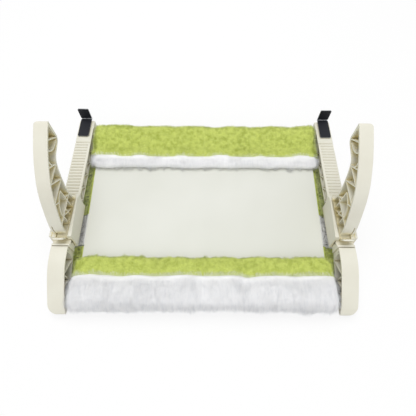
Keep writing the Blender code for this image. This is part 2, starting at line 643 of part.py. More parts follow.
def sleeve_side():
    """The sleeve seen from the side, its rear end pointed and its front end leaning."""
    return ((SLEEVE_REAR + SLEEVE_LIP, SLEEVE_EAR), (SLEEVE_REAR - SLEEVE_LIP, SLEEVE_RIDGE_REAR),
            (SLEEVE_FRONT + SLEEVE_FRONT_LEAN, SLEEVE_RIDGE_FRONT), (SLEEVE_FRONT, SLEEVE_BOTTOM),
            (SLEEVE_REAR, SLEEVE_BOTTOM), (SLEEVE_REAR, -RAIL_TOP_WALL))


def arm_hollows(side, parent):
    """The arm's pockets: its hollow above the sleeve, less the ribs of the lattice."""
    cavity = prism(inset(arm_outline(), ARM_FLANGE), *across(side, ARM_INNER_X - OVERRUN, ARM_WEB_X))
    hollow = guide("arm_hollow", cavity, parent)
    wide = across(side, ARM_INNER_X - 2 * OVERRUN, ARM_WEB_X + OVERRUN)
    floor = rectangle(ARM_TIP - ARM_DEPTH - OVERRUN, ARM_TIP + OVERRUN, -OVERRUN, SLEEVE_TOP)
    combine(hollow, guide("arm_floor", prism(floor, *wide), parent), "DIFFERENCE")
    outlines = [bar(arm_point(start), arm_point(end), ARM_RIB) for start, end in ARM_RIB_SHARES]
    for centre, share, start, end in ((ARCH_CENTRE_SHARE, ARCH_RADIUS_SHARE, 90, 180),
                                      (TIP_ARC_CENTRE_SHARE, TIP_ARC_RADIUS_SHARE, -70, -170)):
        curve = arc(arm_point(centre), ARM_HEIGHT * share, start, end, ARC_STEPS)
        outlines.append(band(curve, ARM_RIB))
    for i, outline in enumerate(outlines):
        combine(hollow, guide(f"arm_rib_{i}", prism(outline, *wide), parent), "DIFFERENCE")
    return hollow


def clamp_arm(name, side, rail_frame):
    """One moulding: the sleeve round the rail and the curved arm with its lattice web."""
    item = new_object(name, prism(arm_outline(), *across(side, ARM_INNER_X, ARM_OUTER_X)),
                      rail_frame, material("cream_plastic", CREAM, 0.42))
    combine(item, arm_hollows(side, rail_frame), "DIFFERENCE")
    tip = corner_cutter("arm_corner", rail_frame, (side * ARM_OUTER_X, ARM_TIP),
                        ARM_CORNER_RADIUS, "z", ARM_HEIGHT / 2, ARM_HEIGHT + OVERRUN, (side, 1))
    combine(item, tip, "DIFFERENCE")
    ends = (SLEEVE_FRONT - OVERRUN, SLEEVE_REAR + 2 * SLEEVE_LIP)
    section = [(side * x, z) for x, z in sleeve_section()]
    sleeve = guide("sleeve", prism(section, *ends, "y"), rail_frame)
    side_range = across(side, SLEEVE_INNER_X - OVERRUN, SLEEVE_OUTER_X + OVERRUN)
    combine(sleeve, guide("sleeve_side", prism(sleeve_side(), *side_range), rail_frame), "INTERSECT")
    combine(item, sleeve, "UNION")
    tunnel = rectangle(*ends, -RAIL_HEIGHT - RUNNING_GAP, RUNNING_GAP)
    tunnel_range = across(side, RAIL_INNER_X - RUNNING_GAP, BRACKET_OUTER_X + RUNNING_GAP)
    combine(item, guide("rail_tunnel", prism(tunnel, *tunnel_range), rail_frame), "DIFFERENCE")
    window = rectangle(SLEEVE_FRONT - 2 * OVERRUN, TONGUE_ROOT + FACE_GAP, 0, SLEEVE_TOP + TONGUE_WINDOW)
    combine(item, guide("tongue_window", prism(window, *across(side, ARM_INNER_X, ARM_WEB_X)), rail_frame),
            "DIFFERENCE")
    slit = rectangle(ARM_TIP - ARM_DEPTH - OVERRUN, TONGUE_ROOT, SLEEVE_TOP, TONGUE_SLIT_TOP)
    slit_range = across(side, ARM_WEB_X - FACE_GAP - TONGUE_SLIT, ARM_WEB_X - FACE_GAP)
    combine(item, guide("tongue_slit", prism(slit, *slit_range), rail_frame), "DIFFERENCE")
    seat_origin(item, (0, SLEEVE_REAR, 0))
    shade(item)
    return item


def release_tongue(name, side, clamp):
    """The sprung tongue: a thin plate, a lip for the finger and a tooth that sits in the rack."""
    low, high = TONGUE_HEIGHT, TONGUE_HEIGHT + TONGUE_THICKNESS
    lip_root, lip_end = TONGUE_END + TONGUE_THICKNESS, TONGUE_END - LIP_LEAN
    outline = ((TONGUE_ROOT, low), (TONGUE_ROOT, high), (lip_root, high),
               (lip_root - LIP_LEAN, high + LIP_RISE), (lip_end, high + LIP_RISE), (TONGUE_END, low))
    x_range = across(side, TONGUE_INNER_X, TONGUE_OUTER_X)
    item = new_object(name, prism(outline, *x_range), clamp.parent, material("cream_plastic", CREAM, 0.42))
    front = LOCKED_Y - TOOTH_GROOVE / 2 + FACE_GAP
    rear = LOCKED_Y + TOOTH_GROOVE / 2 - FACE_GAP
    point = -TOOTH_DEPTH + 2 * FACE_GAP
    tooth = ((front, high), (front, point), (front + TOOTH_GROOVE / 4, point), (rear, 0),
             (rear + TOOTH_GROOVE / 2, low), (rear + TOOTH_GROOVE / 2, high))
    middle = (TONGUE_INNER_X + TONGUE_OUTER_X) / 2
    half = (TONGUE_OUTER_X - TONGUE_INNER_X) * PAWL_WIDTH_SHARE / 2
    tooth_range = across(side, middle - half, middle + half)
    combine(item, guide("tongue_tooth", prism(tooth, *tooth_range), clamp.parent), "UNION")
    seat_origin(item, (side * middle, TONGUE_ROOT, (low + high) / 2))
    item.parent = clamp
    item.location = Vector(item.location) - Vector(clamp.location)
    return item


# Rods

def cross_rod(name, place, rail_frame):
    """A steel tube from bracket to bracket."""
    end, bore = RAIL_WEB_X - FACE_GAP, ROD_RADIUS - ROD_WALL
    profile = ((-end, ROD_RADIUS), (end, ROD_RADIUS), (end, bore), (-end, bore))
    item = new_object(name, turned((0, *place), "x", profile, ROUND_SIDES, hollow=True), rail_frame,
                      material("rod_steel", ROD_STEEL, 0.3, 1.0))
    shade(item)
    return item


def rod_plug(name, side, place, rail_frame):
    """A plastic plug in the end of a tube, bored for the screw."""
    end, start = side * (RAIL_WEB_X - FACE_GAP), side * (RAIL_WEB_X - FACE_GAP - PLUG_LENGTH)
    outer, bore = ROD_RADIUS - ROD_WALL - FACE_GAP, SCREW_RADIUS + FACE_GAP
    profile = ((start, outer), (end, outer), (end, bore), (start, bore))
    return new_object(name, turned((0, *place), "x", profile, SMALL_ROUND_SIDES, hollow=True), rail_frame,
                      material("plug_plastic", PLUG_GREY, 0.5))


def rod_screw(name, side, place, rail_frame):
    """A screw that holds a rod to the outer web, its head flush with it."""
    under_head = side * (BRACKET_OUTER_X - SCREW_HEAD_DEPTH)
    profile = ((under_head - side * ROD_SCREW_LENGTH, SCREW_RADIUS), (under_head, SCREW_RADIUS),
               (under_head, SCREW_HEAD_RADIUS), (side * (BRACKET_OUTER_X - FACE_GAP), SCREW_HEAD_RADIUS))
    return new_object(name, turned((0, *place), "x", profile, SMALL_ROUND_SIDES), rail_frame,
                      material("screw_steel", ROD_STEEL, 0.3, 1.0))


# Bed

def backing_board(name):
    """The stiff board, held under the two hems."""
    outline = rounded_rectangle(-BOARD_HALF, BOARD_HALF, BOARD_FRONT, BOARD_REAR, BOARD_CORNER)
    return new_object(name, prism(outline, BOARD_BOTTOM, BOARD_TOP, "z"), None,
                      material("board", BOARD_WHITE, 0.5))


def wander(x, size, phase):
    """A gentle uneven wave along the hammock, for hems and seams."""
    turn = 2 * math.pi * x / WAVE_LENGTH
    waves = (share * math.sin(pitch * turn + shift * phase) for pitch, share, shift in WAVE_MIX_SHARES)
    return size * sum(waves)


def loft(name, half, stations, section_at, finish):
    """A soft solid drawn across the hammock from section to section, drawn in at its ends."""
    ends = [half - END_TAPER * share for share in END_TAPER_SHARES]
    inner = half - END_TAPER
    middle = [-inner + 2 * inner * i / stations for i in range(stations + 1)]
    work = bmesh.new()
    rings = []
    for x in [-x for x in ends] + middle + ends[::-1]:
        points = section_at(x)
        left = 1 - min(1, (half - abs(x)) / END_TAPER)
        draw = END_DRAW * (1 - math.sqrt(1 - left ** 2))
        places = []
        for low, high, values in ((min(v), max(v), v) for v in zip(*points)):
            centre, extent = (low + high) / 2, (high - low) / 2
            places.append([centre + (value - centre) * (1 - draw / extent) for value in values])
        rings.append([work.verts.new((x, y, z)) for y, z in zip(*places)])
    work.faces.new(rings[0])
    work.faces.new(rings[-1])
    skin(work, rings)
    item = new_object(name, work, None, finish)
    shade(item, 50)
    return item


def cover_end(rod_y, inward, radius, hem_reach, seam_reach, phase):
    """The cover round one rod, as two section functions: the roll and its hem over the board.

    inward is the y direction from the rod towards the middle of the board.
    """
    board_edge = rod_y + inward * (ROD_RADIUS + BOARD_ROD_CLEARANCE - FACE_GAP)
    under = BOARD_TOP + FACE_GAP
    rod_z = radius - FLAT_DEPTH

    def top(x, reach):
        high, low = rod_z + radius, under + HEM_THICKNESS
        share = (1 + math.cos(math.pi * min(1, reach / hem_reach))) / 2
        return low + (high - low) * share + wander(x, ROLL_SWELL, phase + 1)

    def roll(x):
        seam = seam_reach + wander(x, SEAM_WAVE, phase) - FACE_GAP / 2
        points = [(board_edge, 0), (board_edge, under), (rod_y + inward * seam, under)]
        points += [(rod_y + inward * seam * share, top(x, seam * share)) for share in ROLL_TOP_SHARES]
        swell = top(x, 0) - rod_z
        for i in range(ROLL_ROUND_STEPS + 1):
            angle = math.pi * i / ROLL_ROUND_STEPS
            height = max(0, rod_z + swell * math.cos(angle))
            points.append((rod_y - inward * radius * math.sin(angle), height))
        return points

    def hem(x):
        seam = seam_reach + wander(x, SEAM_WAVE, phase) + FACE_GAP / 2
        end = hem_reach + wander(x, HEM_WAVE, phase + 2) - HEM_THICKNESS / 2
        reaches = (seam, (2 * seam + end) / 3, (seam + 2 * end) / 3, end)
        points = [(rod_y + inward * reach, top(x, reach)) for reach in reaches]
        middle = (top(x, end) + under) / 2
        for i in range(1, HEM_ROUND_STEPS):
            angle = math.pi * i / HEM_ROUND_STEPS
            points.append((rod_y + inward * (end + HEM_THICKNESS / 2 * math.sin(angle)),
                           middle + (middle - under) * math.cos(angle)))
        return points + [(rod_y + inward * end, under), (rod_y + inward * seam, under)]

    return roll, hem


def mat_strip(name, start, end, finish):
    """A strip of the mat under the board: flat on both faces, drawn in along its seams."""
    rear, front, high = start - FACE_GAP / 2, end + FACE_GAP / 2, BOARD_BOTTOM - FACE_GAP
    section = ((rear, high), (rear, MAT_SEAM_DEPTH), (rear - MAT_SEAM_WIDTH / 3, MAT_SEAM_DEPTH / 3),
               (rear - MAT_SEAM_WIDTH, 0), (front + MAT_SEAM_WIDTH, 0),
               (front + MAT_SEAM_WIDTH / 3, MAT_SEAM_DEPTH / 3), (front, MAT_SEAM_DEPTH), (front, high))
    return loft(name, MAT_HALF, MAT_STATIONS, lambda x: section, finish)


def plush_cover():
    """The cover's strips of green and white plush, each sewn to the next."""
    green = material("green_plush", PLUSH_GREEN, 0.95)
    white = material("white_plush", PLUSH_WHITE, 0.95)
    rear = (REAR_ROD_Y, -1, REAR_ROLL_RADIUS, REAR_HEM_REACH, REAR_SEAM_REACH)
    front = (FRONT_ROD_Y, 1, FRONT_ROLL_RADIUS, FRONT_HEM_REACH, FRONT_SEAM_REACH)
    for word, half, place, finishes in (("rear", REAR_ROLL_HALF, rear, (green, white)),
                                        ("front", FRONT_ROLL_HALF, front, (white, green))):
        rod_y, radius = place[0], place[2]
        roll, hem = cover_end(*place, rod_y / WAVE_LENGTH)
        wrap = loft(f"{word}_roll", half, ROLL_STATIONS, roll, finishes[0])
        bore = prism(circle((rod_y, radius - FLAT_DEPTH), ROD_RADIUS + FACE_GAP, ROUND_SIDES),
                     -half - OVERRUN, half + OVERRUN)
        combine(wrap, guide(f"{word}_roll_bore", bore, None), "DIFFERENCE")
        loft(f"{word}_hem", half, ROLL_STATIONS, hem, finishes[1])
    first = REAR_ROD_Y - MAT_GREEN_REACH
    second = first - MAT_WHITE_LENGTH
    mat_strip("mat_rear_strip", BOARD_REAR, first, green)
    mat_strip("mat_middle_strip", first, second, white)
    mat_strip("mat_front_strip", second, BOARD_FRONT, green)


def build():
    clear_scene()
    rail_frame = bpy.data.objects.new("rail_frame", None)
    bpy.context.collection.objects.link(rail_frame)
    rail_frame.location = (0, ORIGIN_Y, ORIGIN_Z)
    rail_frame.rotation_euler = (-LEAN, 0, 0)
    for word, side in (("left", -1), ("right", 1)):
        side_bracket(f"side_bracket_{word}", side, rail_frame)
        hook_plate(f"hook_plate_{word}", side, rail_frame)
        hook_foot_pad(f"hook_foot_pad_{word}", side, rail_frame)
        hook_tab_pad(f"hook_tab_pad_{word}", side, rail_frame)
        for place, setback in HOOK_SCREW_SETBACKS.items():
            hook_screw(f"hook_screw_{place}_{word}", side, setback, rail_frame)
        clamp = clamp_arm(f"clamp_arm_{word}", side, rail_frame)
        release_tongue(f"release_tongue_{word}", side, clamp)
        for place, rod in (("rear", REAR_ROD), ("front", FRONT_ROD)):
            rod_plug(f"{place}_rod_plug_{word}", side, rod, rail_frame)
            rod_screw(f"{place}_rod_screw_{word}", side, rod, rail_frame)
    cross_rod("rear_rod", REAR_ROD, rail_frame)
    cross_rod("front_rod", FRONT_ROD, rail_frame)
    backing_board("backing_board")
    plush_cover()


build()
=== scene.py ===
# %% [markdown]
# # A cat window hammock, lying on its plush side
#
# The real object is a small bed that hangs from a window sill. Two ribbed plastic brackets are
# joined by two steel tubes, a plush cover in green and white strips goes round the tubes, and
# a stiff board keeps the bed flat. Packed and photographed, it lies upside down: plush below,
# toothed rails and curved clamp arms above.
#
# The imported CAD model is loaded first. Everything below dresses it: rounded copies of the
# moulded parts, a camera and light like the photograph's, and the soft cover with its pile.

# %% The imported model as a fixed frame
import math

import bmesh
import bpy
import numpy as np
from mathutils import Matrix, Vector


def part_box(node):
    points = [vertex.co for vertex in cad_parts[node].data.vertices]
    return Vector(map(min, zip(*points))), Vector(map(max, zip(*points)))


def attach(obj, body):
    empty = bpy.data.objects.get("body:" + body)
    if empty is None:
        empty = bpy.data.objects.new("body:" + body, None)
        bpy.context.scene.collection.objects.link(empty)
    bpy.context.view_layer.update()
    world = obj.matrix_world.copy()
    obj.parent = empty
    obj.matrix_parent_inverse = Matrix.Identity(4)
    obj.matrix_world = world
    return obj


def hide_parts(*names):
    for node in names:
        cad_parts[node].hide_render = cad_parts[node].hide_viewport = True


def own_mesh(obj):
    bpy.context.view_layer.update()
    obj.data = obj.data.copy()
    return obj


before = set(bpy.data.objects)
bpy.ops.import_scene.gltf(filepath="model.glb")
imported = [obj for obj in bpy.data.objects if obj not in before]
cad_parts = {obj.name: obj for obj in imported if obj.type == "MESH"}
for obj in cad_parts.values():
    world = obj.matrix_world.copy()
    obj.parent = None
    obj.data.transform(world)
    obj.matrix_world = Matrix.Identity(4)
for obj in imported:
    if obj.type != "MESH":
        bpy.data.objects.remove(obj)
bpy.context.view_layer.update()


# %% [markdown]
# ## Camera
#
# The camera's place was worked out from straight edges in the photograph: the two rails, the
# board's edges and the upright arms. A lens of 29.4 mm on a 36 mm sensor gives the strong
# perspective, in which the near roll looks much wider than the far one.

# %% The camera of the photograph
CAMERA_PLACE = (0.00449, -0.23586, 0.56743)
CAMERA_TURN_DEGREES = (22.9907, -0.3481, 0.2115)
LENS_MM = 29.423
SENSOR_MM = 36
CLIP_START = 0.01

camera_data = bpy.data.cameras.new("camera")
camera_data.lens = LENS_MM
camera_data.sensor_width = SENSOR_MM
camera_data.clip_start = CLIP_START


def link_object(name, data):
    """Put a mesh, a camera or a lamp in the scene under a name."""
    item = bpy.data.objects.new(name, data)
    bpy.context.collection.objects.link(item)
    return item


camera = link_object("camera", camera_data)
camera.location = CAMERA_PLACE
camera.rotation_euler = [math.radians(angle) for angle in CAMERA_TURN_DEGREES]
bpy.context.scene.camera = camera
print("camera at", CAMERA_PLACE, "with a lens of", LENS_MM, "mm")

# %% [markdown]
# ## Nodes in a few words
#
# Every finish here is procedural. Two small helpers start a material and add a node with its
# links, so that each finish further down reads as a short list.

# %% Helpers for nodes


def new_finish(name, roughness, metallic=0.0, **sockets):
    """A Principled material; sockets sets further sockets by name, with _ for a space."""
    finish = bpy.data.materials.new(name)
    finish.use_nodes = True
    shader = finish.node_tree.nodes["Principled BSDF"]
    for socket, value in {"Roughness": roughness, "Metallic": metallic, **sockets}.items():
        shader.inputs[socket.replace("_", " ")].default_value = value
    return finish


def add_node(owner, kind, links=(), **settings):
    """Add a node to a material, a world or a node group.

    links pairs a socket with an output or a value; settings sets properties or sockets.
    """
    tree = getattr(owner, "node_tree", owner)
    made = tree.nodes.new(kind)
    for key, value in settings.items():
        if hasattr(made, key):
            setattr(made, key, value)
        else:
            made.inputs[key.replace("_", " ")].default_value = value
    for socket, source in links:
        if hasattr(source, "is_output"):
            tree.links.new(source, made.inputs[socket])
        else:
            made.inputs[socket].default_value = source
    return made


print("helpers for nodes are ready")

# %% [markdown]
# ## Floor and light
#
# The photograph was taken on white, with soft light from everywhere and a faint shadow under
# the near roll. A large pale floor catches that shadow. What the camera sees of it is lifted
# towards white by Light Path, so the background is white without any extra light on the part.

# %% A floor and a world that look white
FLOOR_HALF = 6.0
FLOOR_DROP = 0.0008          # the floor lies this far below the part
FLOOR_COLOUR = (0.92, 0.92, 0.92, 1)
FLOOR_LIFT = 0.80            # share of plain white in what the camera sees of the floor
WORLD_STRENGTH = 0.545
WHITE = (1, 1, 1, 1)


def seen_ray(owner):
    """1 for camera, glossy and transmission rays, 0 for those that light the scene."""
    path = add_node(owner, "ShaderNodeLightPath")
    total = path.outputs["Is Camera Ray"]
    for ray in ("Is Glossy Ray", "Is Transmission Ray"):
        total = add_node(owner, "ShaderNodeMath", [(0, total), (1, path.outputs[ray])],
                         operation="MAXIMUM").outputs[0]
    return total


def lift_to_white(owner, shader, white, share, output):
    """Send a shader to the output node, with a share of white in what is seen of it."""
    lift = add_node(owner, "ShaderNodeMath", [(0, seen_ray(owner)), (1, share)],
                    operation="MULTIPLY")
    blend = add_node(owner, "ShaderNodeMixShader",
                     [("Fac", lift.outputs[0]), (1, shader.outputs[0]), (2, white.outputs[0])])
    surface = owner.node_tree.nodes[output].inputs["Surface"]
    owner.node_tree.links.new(blend.outputs[0], surface)


def make_floor():
    mesh = bpy.data.meshes.new("floor")
    signs = ((-1, -1), (1, -1), (1, 1), (-1, 1))
    mesh.from_pydata([(x * FLOOR_HALF, y * FLOOR_HALF, 0) for x, y in signs], [], [(0, 1, 2, 3)])
    floor = link_object("floor", mesh)
    finish = new_finish("studio_white", roughness=0.9, Base_Color=FLOOR_COLOUR,
                        Specular_IOR_Level=0.1)
    lift_to_white(finish, finish.node_tree.nodes["Principled BSDF"],
                  add_node(finish, "ShaderNodeEmission", Color=WHITE),
                  FLOOR_LIFT, "Material Output")
    mesh.materials.append(finish)
    floor.location.z = -FLOOR_DROP


def make_world():
    world = bpy.data.worlds.new("studio")
    world.use_nodes = True
    bpy.context.scene.world = world
    lighting = world.node_tree.nodes["Background"]
    lighting.inputs["Color"].default_value = WHITE
    lighting.inputs["Strength"].default_value = WORLD_STRENGTH
    white = add_node(world, "ShaderNodeBackground", [("Color", WHITE)])
    lift_to_white(world, lighting, white, 1.0, "World Output")


make_floor()
make_world()
bpy.context.scene.view_settings.view_transform = "Standard"
print("a floor", 2 * FLOOR_HALF, "m wide and a world of strength", WORLD_STRENGTH)

# %% [markdown]
# Two broad lamps give the forms their shape. The key lamp hangs high behind the part, so its
# soft shadow falls towards the camera. The fill lamp stands lower, on the camera's side.

# %% Two soft lamps
LAMP_AIM = (0, 0, 0)
LAMPS = (("key", (-0.15, 0.55, 2.0), 1.6, 23.1),       # name, place, width, power in watts
         ("fill", (0.1, -1.35, 1.15), 1.5, 6.0))

for name, place, width, power in LAMPS:
    data = bpy.data.lights.new(name, "AREA")
    data.shape = "DISK"
    data.size = width
    data.energy = power
    lamp = link_object(name, data)
    lamp.location = place
    lamp.rotation_euler = (Vector(LAMP_AIM) - Vector(place)).to_track_quat("-Z", "Y").to_euler()
    print("lamp", name, "at", place)

# %% [markdown]
# ## Finishes of the hard parts
#
# Colours are written as they look on screen, from 0 to 255, and turned to the linear values that
# shaders expect. Patterns are noise on Object coordinates, so they need no unwrapping and keep
# their true size on every piece.

# %% Colours and patterns


def paint(red, green, blue):
    """A screen colour as linear RGBA."""
    values = []
    for value in (red, green, blue):
        share = value / 255
        values.append(share / 12.92 if share <= 0.04045 else ((share + 0.055) / 1.055) ** 2.4)
    return (*values, 1.0)


def mix_colour(finish, factor, first, second):
    """A colour between two, by a factor output; each colour is a value or an output."""
    return add_node(finish, "ShaderNodeMix", [("Factor", factor), (6, first), (7, second)],
                    data_type="RGBA").outputs[2]


def noise(finish, scale, detail=3.0, stretch=None):
    """Noise on Object coordinates, which stretch may scale along each axis."""
    place = add_node(finish, "ShaderNodeTexCoord").outputs["Object"]
    if stretch:
        place = add_node(finish, "ShaderNodeMapping", [("Vector", place)], Scale=stretch).outputs[0]
    return add_node(finish, "ShaderNodeTexNoise", [("Vector", place)],
                    Scale=scale, Detail=detail).outputs["Fac"]


def spread(finish, source, low, high, bottom=0.0, top=1.0):
    """Stretch a part of a pattern's range, such as a noise's middle, to another range."""
    return add_node(finish, "ShaderNodeMapRange", [("Value", source)], From_Min=low,
                    From_Max=high, To_Min=bottom, To_Max=top).outputs["Result"]


def mottle(finish, pattern, first, second, low=0.35, high=0.65):
    """Two near colours, mixed by the middle of a noise."""
    return mix_colour(finish, spread(finish, pattern, low, high), paint(*first), paint(*second))


def openness(finish, reach, low, high):
    """0 in a hollow about as deep as reach, 1 in the open."""
    sky = add_node(finish, "ShaderNodeAmbientOcclusion", samples=8, Distance=reach)
    return spread(finish, sky.outputs["AO"], low, high)


def connect(finish, socket, source):
    finish.node_tree.links.new(source, finish.node_tree.nodes["Principled BSDF"].inputs[socket])


def bumps(finish, height, distance, strength):
    made = add_node(finish, "ShaderNodeBump", [("Height", height)], Distance=distance,
                    Strength=strength)
    connect(finish, "Normal", made.outputs["Normal"])


print("white is", paint(255, 255, 255))

# %% [markdown]
# The mouldings are a cream polypropylene with a fine spark-eroded surface. Hollows and sharp
# corners get painted shade: where ambient occlusion finds them, the colour turns a warmer, darker
# tan. A fine grain breaks up the gloss, and a broad, weak mottle keeps large faces from looking
# painted.

# %% Cream plastic
CREASE_SHADE_DEPTH = 0.0025        # corners about this deep take the painted crease shade


def cream_plastic(name, recess, crease, hollow):
    """Cream moulding with painted shade: one tint in hollows about as deep as hollow, one in sharp
    corners.
    """
    finish = new_finish(name, roughness=0.42, Specular_IOR_Level=0.42)
    grain = noise(finish, scale=900, detail=2)
    colour = mottle(finish, noise(finish, scale=22), (225, 223, 209), (221, 218, 203))
    # painted shade: hollows and sharp corners take darker tints, found by ambient occlusion
    hollows_shaded = mix_colour(finish, openness(finish, hollow, 0.15, 0.85), paint(*recess), colour)
    open_corner = openness(finish, CREASE_SHADE_DEPTH, 0.25, 0.85)
    connect(finish, "Base Color", mix_colour(finish, open_corner, paint(*crease), hollows_shaded))
    connect(finish, "Roughness", spread(finish, grain, 0, 1, bottom=0.36, top=0.50))
    bumps(finish, grain, distance=0.00005, strength=0.5)
    return finish


# The last two colours are painted shade for hollows and for sharp corners; the rail's grooves get a
# dark one.
CREAM = cream_plastic("cream_moulding", (236, 223, 167), (221, 212, 180), 0.013)
RAIL_CREAM = cream_plastic("rail_moulding", (222, 210, 166), (118, 108, 84), 0.008)
print("finishes:", CREAM.name, "and", RAIL_CREAM.name)

# %% [markdown]
# The pads are dark rubber, almost without gloss. The hook strips, tubes and screws are plated
# steel: noise stretched 40 times along one axis gives the fine lines of drawn metal. The board
# is a pale plastic sheet with faint clouds, and the tubes' plugs are plain grey plastic.

# %% Rubber, steel, board and plugs


def dark_rubber():
    finish = new_finish("dark_rubber", roughness=0.62, Specular_IOR_Level=0.25)
    grain = noise(finish, scale=1400)
    connect(finish, "Base Color", mottle(finish, grain, (19, 21, 27), (28, 30, 37)))
    bumps(finish, grain, distance=0.00008, strength=0.6)
    return finish


def plated_steel():
    finish = new_finish("plated_steel", roughness=0.32, metallic=1.0)
    brush = noise(finish, scale=120, detail=4, stretch=(1, 40, 1))
    connect(finish, "Base Color", mottle(finish, brush, (176, 178, 180), (205, 206, 208)))
    bumps(finish, brush, distance=0.00002, strength=0.4)
    return finish


def board_sheet():
    finish = new_finish("board_sheet", roughness=0.46, Specular_IOR_Level=0.4)
    cloud = noise(finish, scale=9, detail=2)
    connect(finish, "Base Color", mottle(finish, cloud, (218, 219, 211), (214, 215, 206)))
    bumps(finish, noise(finish, scale=700, detail=2), distance=0.00004, strength=0.5)
    return finish


def plug_plastic():
    finish = new_finish("plug_plastic", roughness=0.5, Base_Color=paint(120, 120, 122))
    bumps(finish, noise(finish, scale=800, detail=2), distance=0.00005, strength=0.4)
    return finish


RUBBER, STEEL, BOARD, PLUG = dark_rubber(), plated_steel(), board_sheet(), plug_plastic()
print("finishes:", ", ".join(finish.name for finish in (RUBBER, STEEL, BOARD, PLUG)))

# %% [markdown]
# ## Mouldings
#
# A moulded edge is never sharp: the tool leaves about half a millimetre of radius, and that
# radius is what catches the light. Each rigid CAD solid comes as loose triangles, so a copy is
# merged first and its flat faces are joined. A Bevel modifier then rounds the edges.

# %% Closed copies of the hard parts
MERGE_DISTANCE = 0.00001
FLAT_DEGREES = 1
SHORT_EDGE = 0.00022
SHARP_DEGREES = 32


def finished_mesh(work, name):
    """Write a bmesh to a new mesh and let it go."""
    mesh = bpy.data.meshes.new(name)
    work.to_mesh(mesh)
    work.free()
    return mesh


def merged_mesh(node):
    """A CAD node's triangles as a closed mesh with whole flat faces."""
    work = bmesh.new()
    work.from_mesh(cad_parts[node].data)
    bmesh.ops.remove_doubles(work, verts=work.verts, dist=MERGE_DISTANCE)
    bmesh.ops.dissolve_limit(work, angle_limit=math.radians(FLAT_DEGREES),
                             verts=work.verts, edges=work.edges)
    bmesh.ops.dissolve_degenerate(work, dist=SHORT_EDGE, edges=work.edges)
    return finished_mesh(work, node)


def sharp_edges(mesh):
    """1 for each edge that turns by more than the limit, 0 for the rest."""
    work = bmesh.new()
    work.from_mesh(mesh)
    limit = math.radians(SHARP_DEGREES)
    shares = np.array([float(edge.calc_face_angle(0) > limit) for edge in work.edges])
    work.free()
    return shares


print("edges that turn by more than", SHARP_DEGREES, "degrees are rounded")

# %% [markdown]
# In the lattice some corners are too narrow for the whole radius, and a face there would fold
# over itself. Each rounded face remembers the face that it came from. Where one has turned over,
# the edges round that face get less radius, and the Bevel is tried again.

# %% Rounded edges without folds
EDGE_RADIUS = 0.00045
RAIL_RADIUS = 0.00028        # the toothed rail is crisper
THIN_EDGE_RADIUS = 0.00018
FOLD_AREA = 1e-8             # smaller faces don't count as folds
FOLD_TURN = 0.3              # nor do those whose normals agree better than this
ROUNDING_TRIES = 8
LESS_RADIUS = 0.6            # share of the radius that each try leaves


def evaluated_mesh(item):
    """What an object's modifiers make of it, as a plain mesh."""
    bpy.context.view_layer.update()
    view = bpy.context.evaluated_depsgraph_get()
    return bpy.data.meshes.new_from_object(item.evaluated_get(view))


def folded_faces(mesh):
    """Which faces of the first mesh a fold in the rounded one comes from."""
    mesh.calc_loop_triangles()
    origin = mesh.attributes["origin"].data
    folded = set()
    for triangle in mesh.loop_triangles:
        face = mesh.polygons[triangle.polygon_index]
        if triangle.area > FOLD_AREA and triangle.normal.dot(face.normal) < FOLD_TURN:
            folded.add(origin[face.index].value)
    return folded


def round_edges(item, radius, segments):
    """Bevel the sharp edges; says how many faces still fold."""
    mesh = item.data
    shares = sharp_edges(mesh)
    origin = mesh.attributes.new("origin", "INT", "FACE")
    origin.data.foreach_set("value", np.arange(len(mesh.polygons)))
    mesh.attributes.new("bevel_weight_edge", "FLOAT", "EDGE")
    bevel = item.modifiers.new("edges", "BEVEL")
    bevel.width = radius
    bevel.segments = segments
    bevel.limit_method = "WEIGHT"
    bevel.use_clamp_overlap = False
    bevel.harden_normals = True
    for _ in range(ROUNDING_TRIES):
        weights = mesh.attributes["bevel_weight_edge"].data
        weights.foreach_set("value", shares.astype(np.float32))
        mesh.update()
        result = evaluated_mesh(item)
        folded = folded_faces(result)
        if not folded:
            break
        ends = np.array([edge.vertices[:] for edge in mesh.edges])
        near = list({corner for index in folded for corner in mesh.polygons[index].vertices})
        shares[np.isin(ends, near).any(1)] *= LESS_RADIUS
    item.modifiers.clear()
    item.data = result
    return len(folded)


print(f"radii from {THIN_EDGE_RADIUS * 1000:.2f} to {EDGE_RADIUS * 1000:.2f} mm")

# %% [markdown]
# The finished copy stands for its CAD solid: it rides on the same body and replaces the node.
# A last step looks for corners whose stored normal turns away from their face, which would
# shade as dark specks, and stores the face's own normal there.

# %% The hard parts, dressed
NORMAL_TURN = 0.4            # a stored normal that agrees less than this with its face is wrong
SIDES = ("left", "right")


def straighten_normals(mesh):
    """Where a corner's stored normal turns away from its face, the face's own is stored."""
    stored = np.empty(len(mesh.loops) * 3, dtype=np.float32)
    mesh.corner_normals.foreach_get("vector", stored)
    stored = stored.reshape(-1, 3)
    facing = np.array([face.normal for face in mesh.polygons])
    own = np.repeat(facing, [face.loop_total for face in mesh.polygons], axis=0)
    turned = (stored * own).sum(1) < NORMAL_TURN
    stored[turned] = own[turned]
    mesh.normals_split_custom_set(stored.tolist())


def rounded(node, name, finish, body, radius, segments):
    """A rounded, dressed copy of a CAD node, which it replaces."""
    mesh = merged_mesh(node)
    mesh.materials.clear()
    mesh.materials.append(finish)
    item = link_object(name, mesh)
    mesh.shade_smooth()
    mesh.set_sharp_from_angle(angle=math.radians(SHARP_DEGREES))
    still_folded = round_edges(item, radius, segments)
    straighten_normals(item.data)
    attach(item, body)
    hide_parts(node)
    print(name, len(item.data.polygons), "faces, folds left:", still_folded)


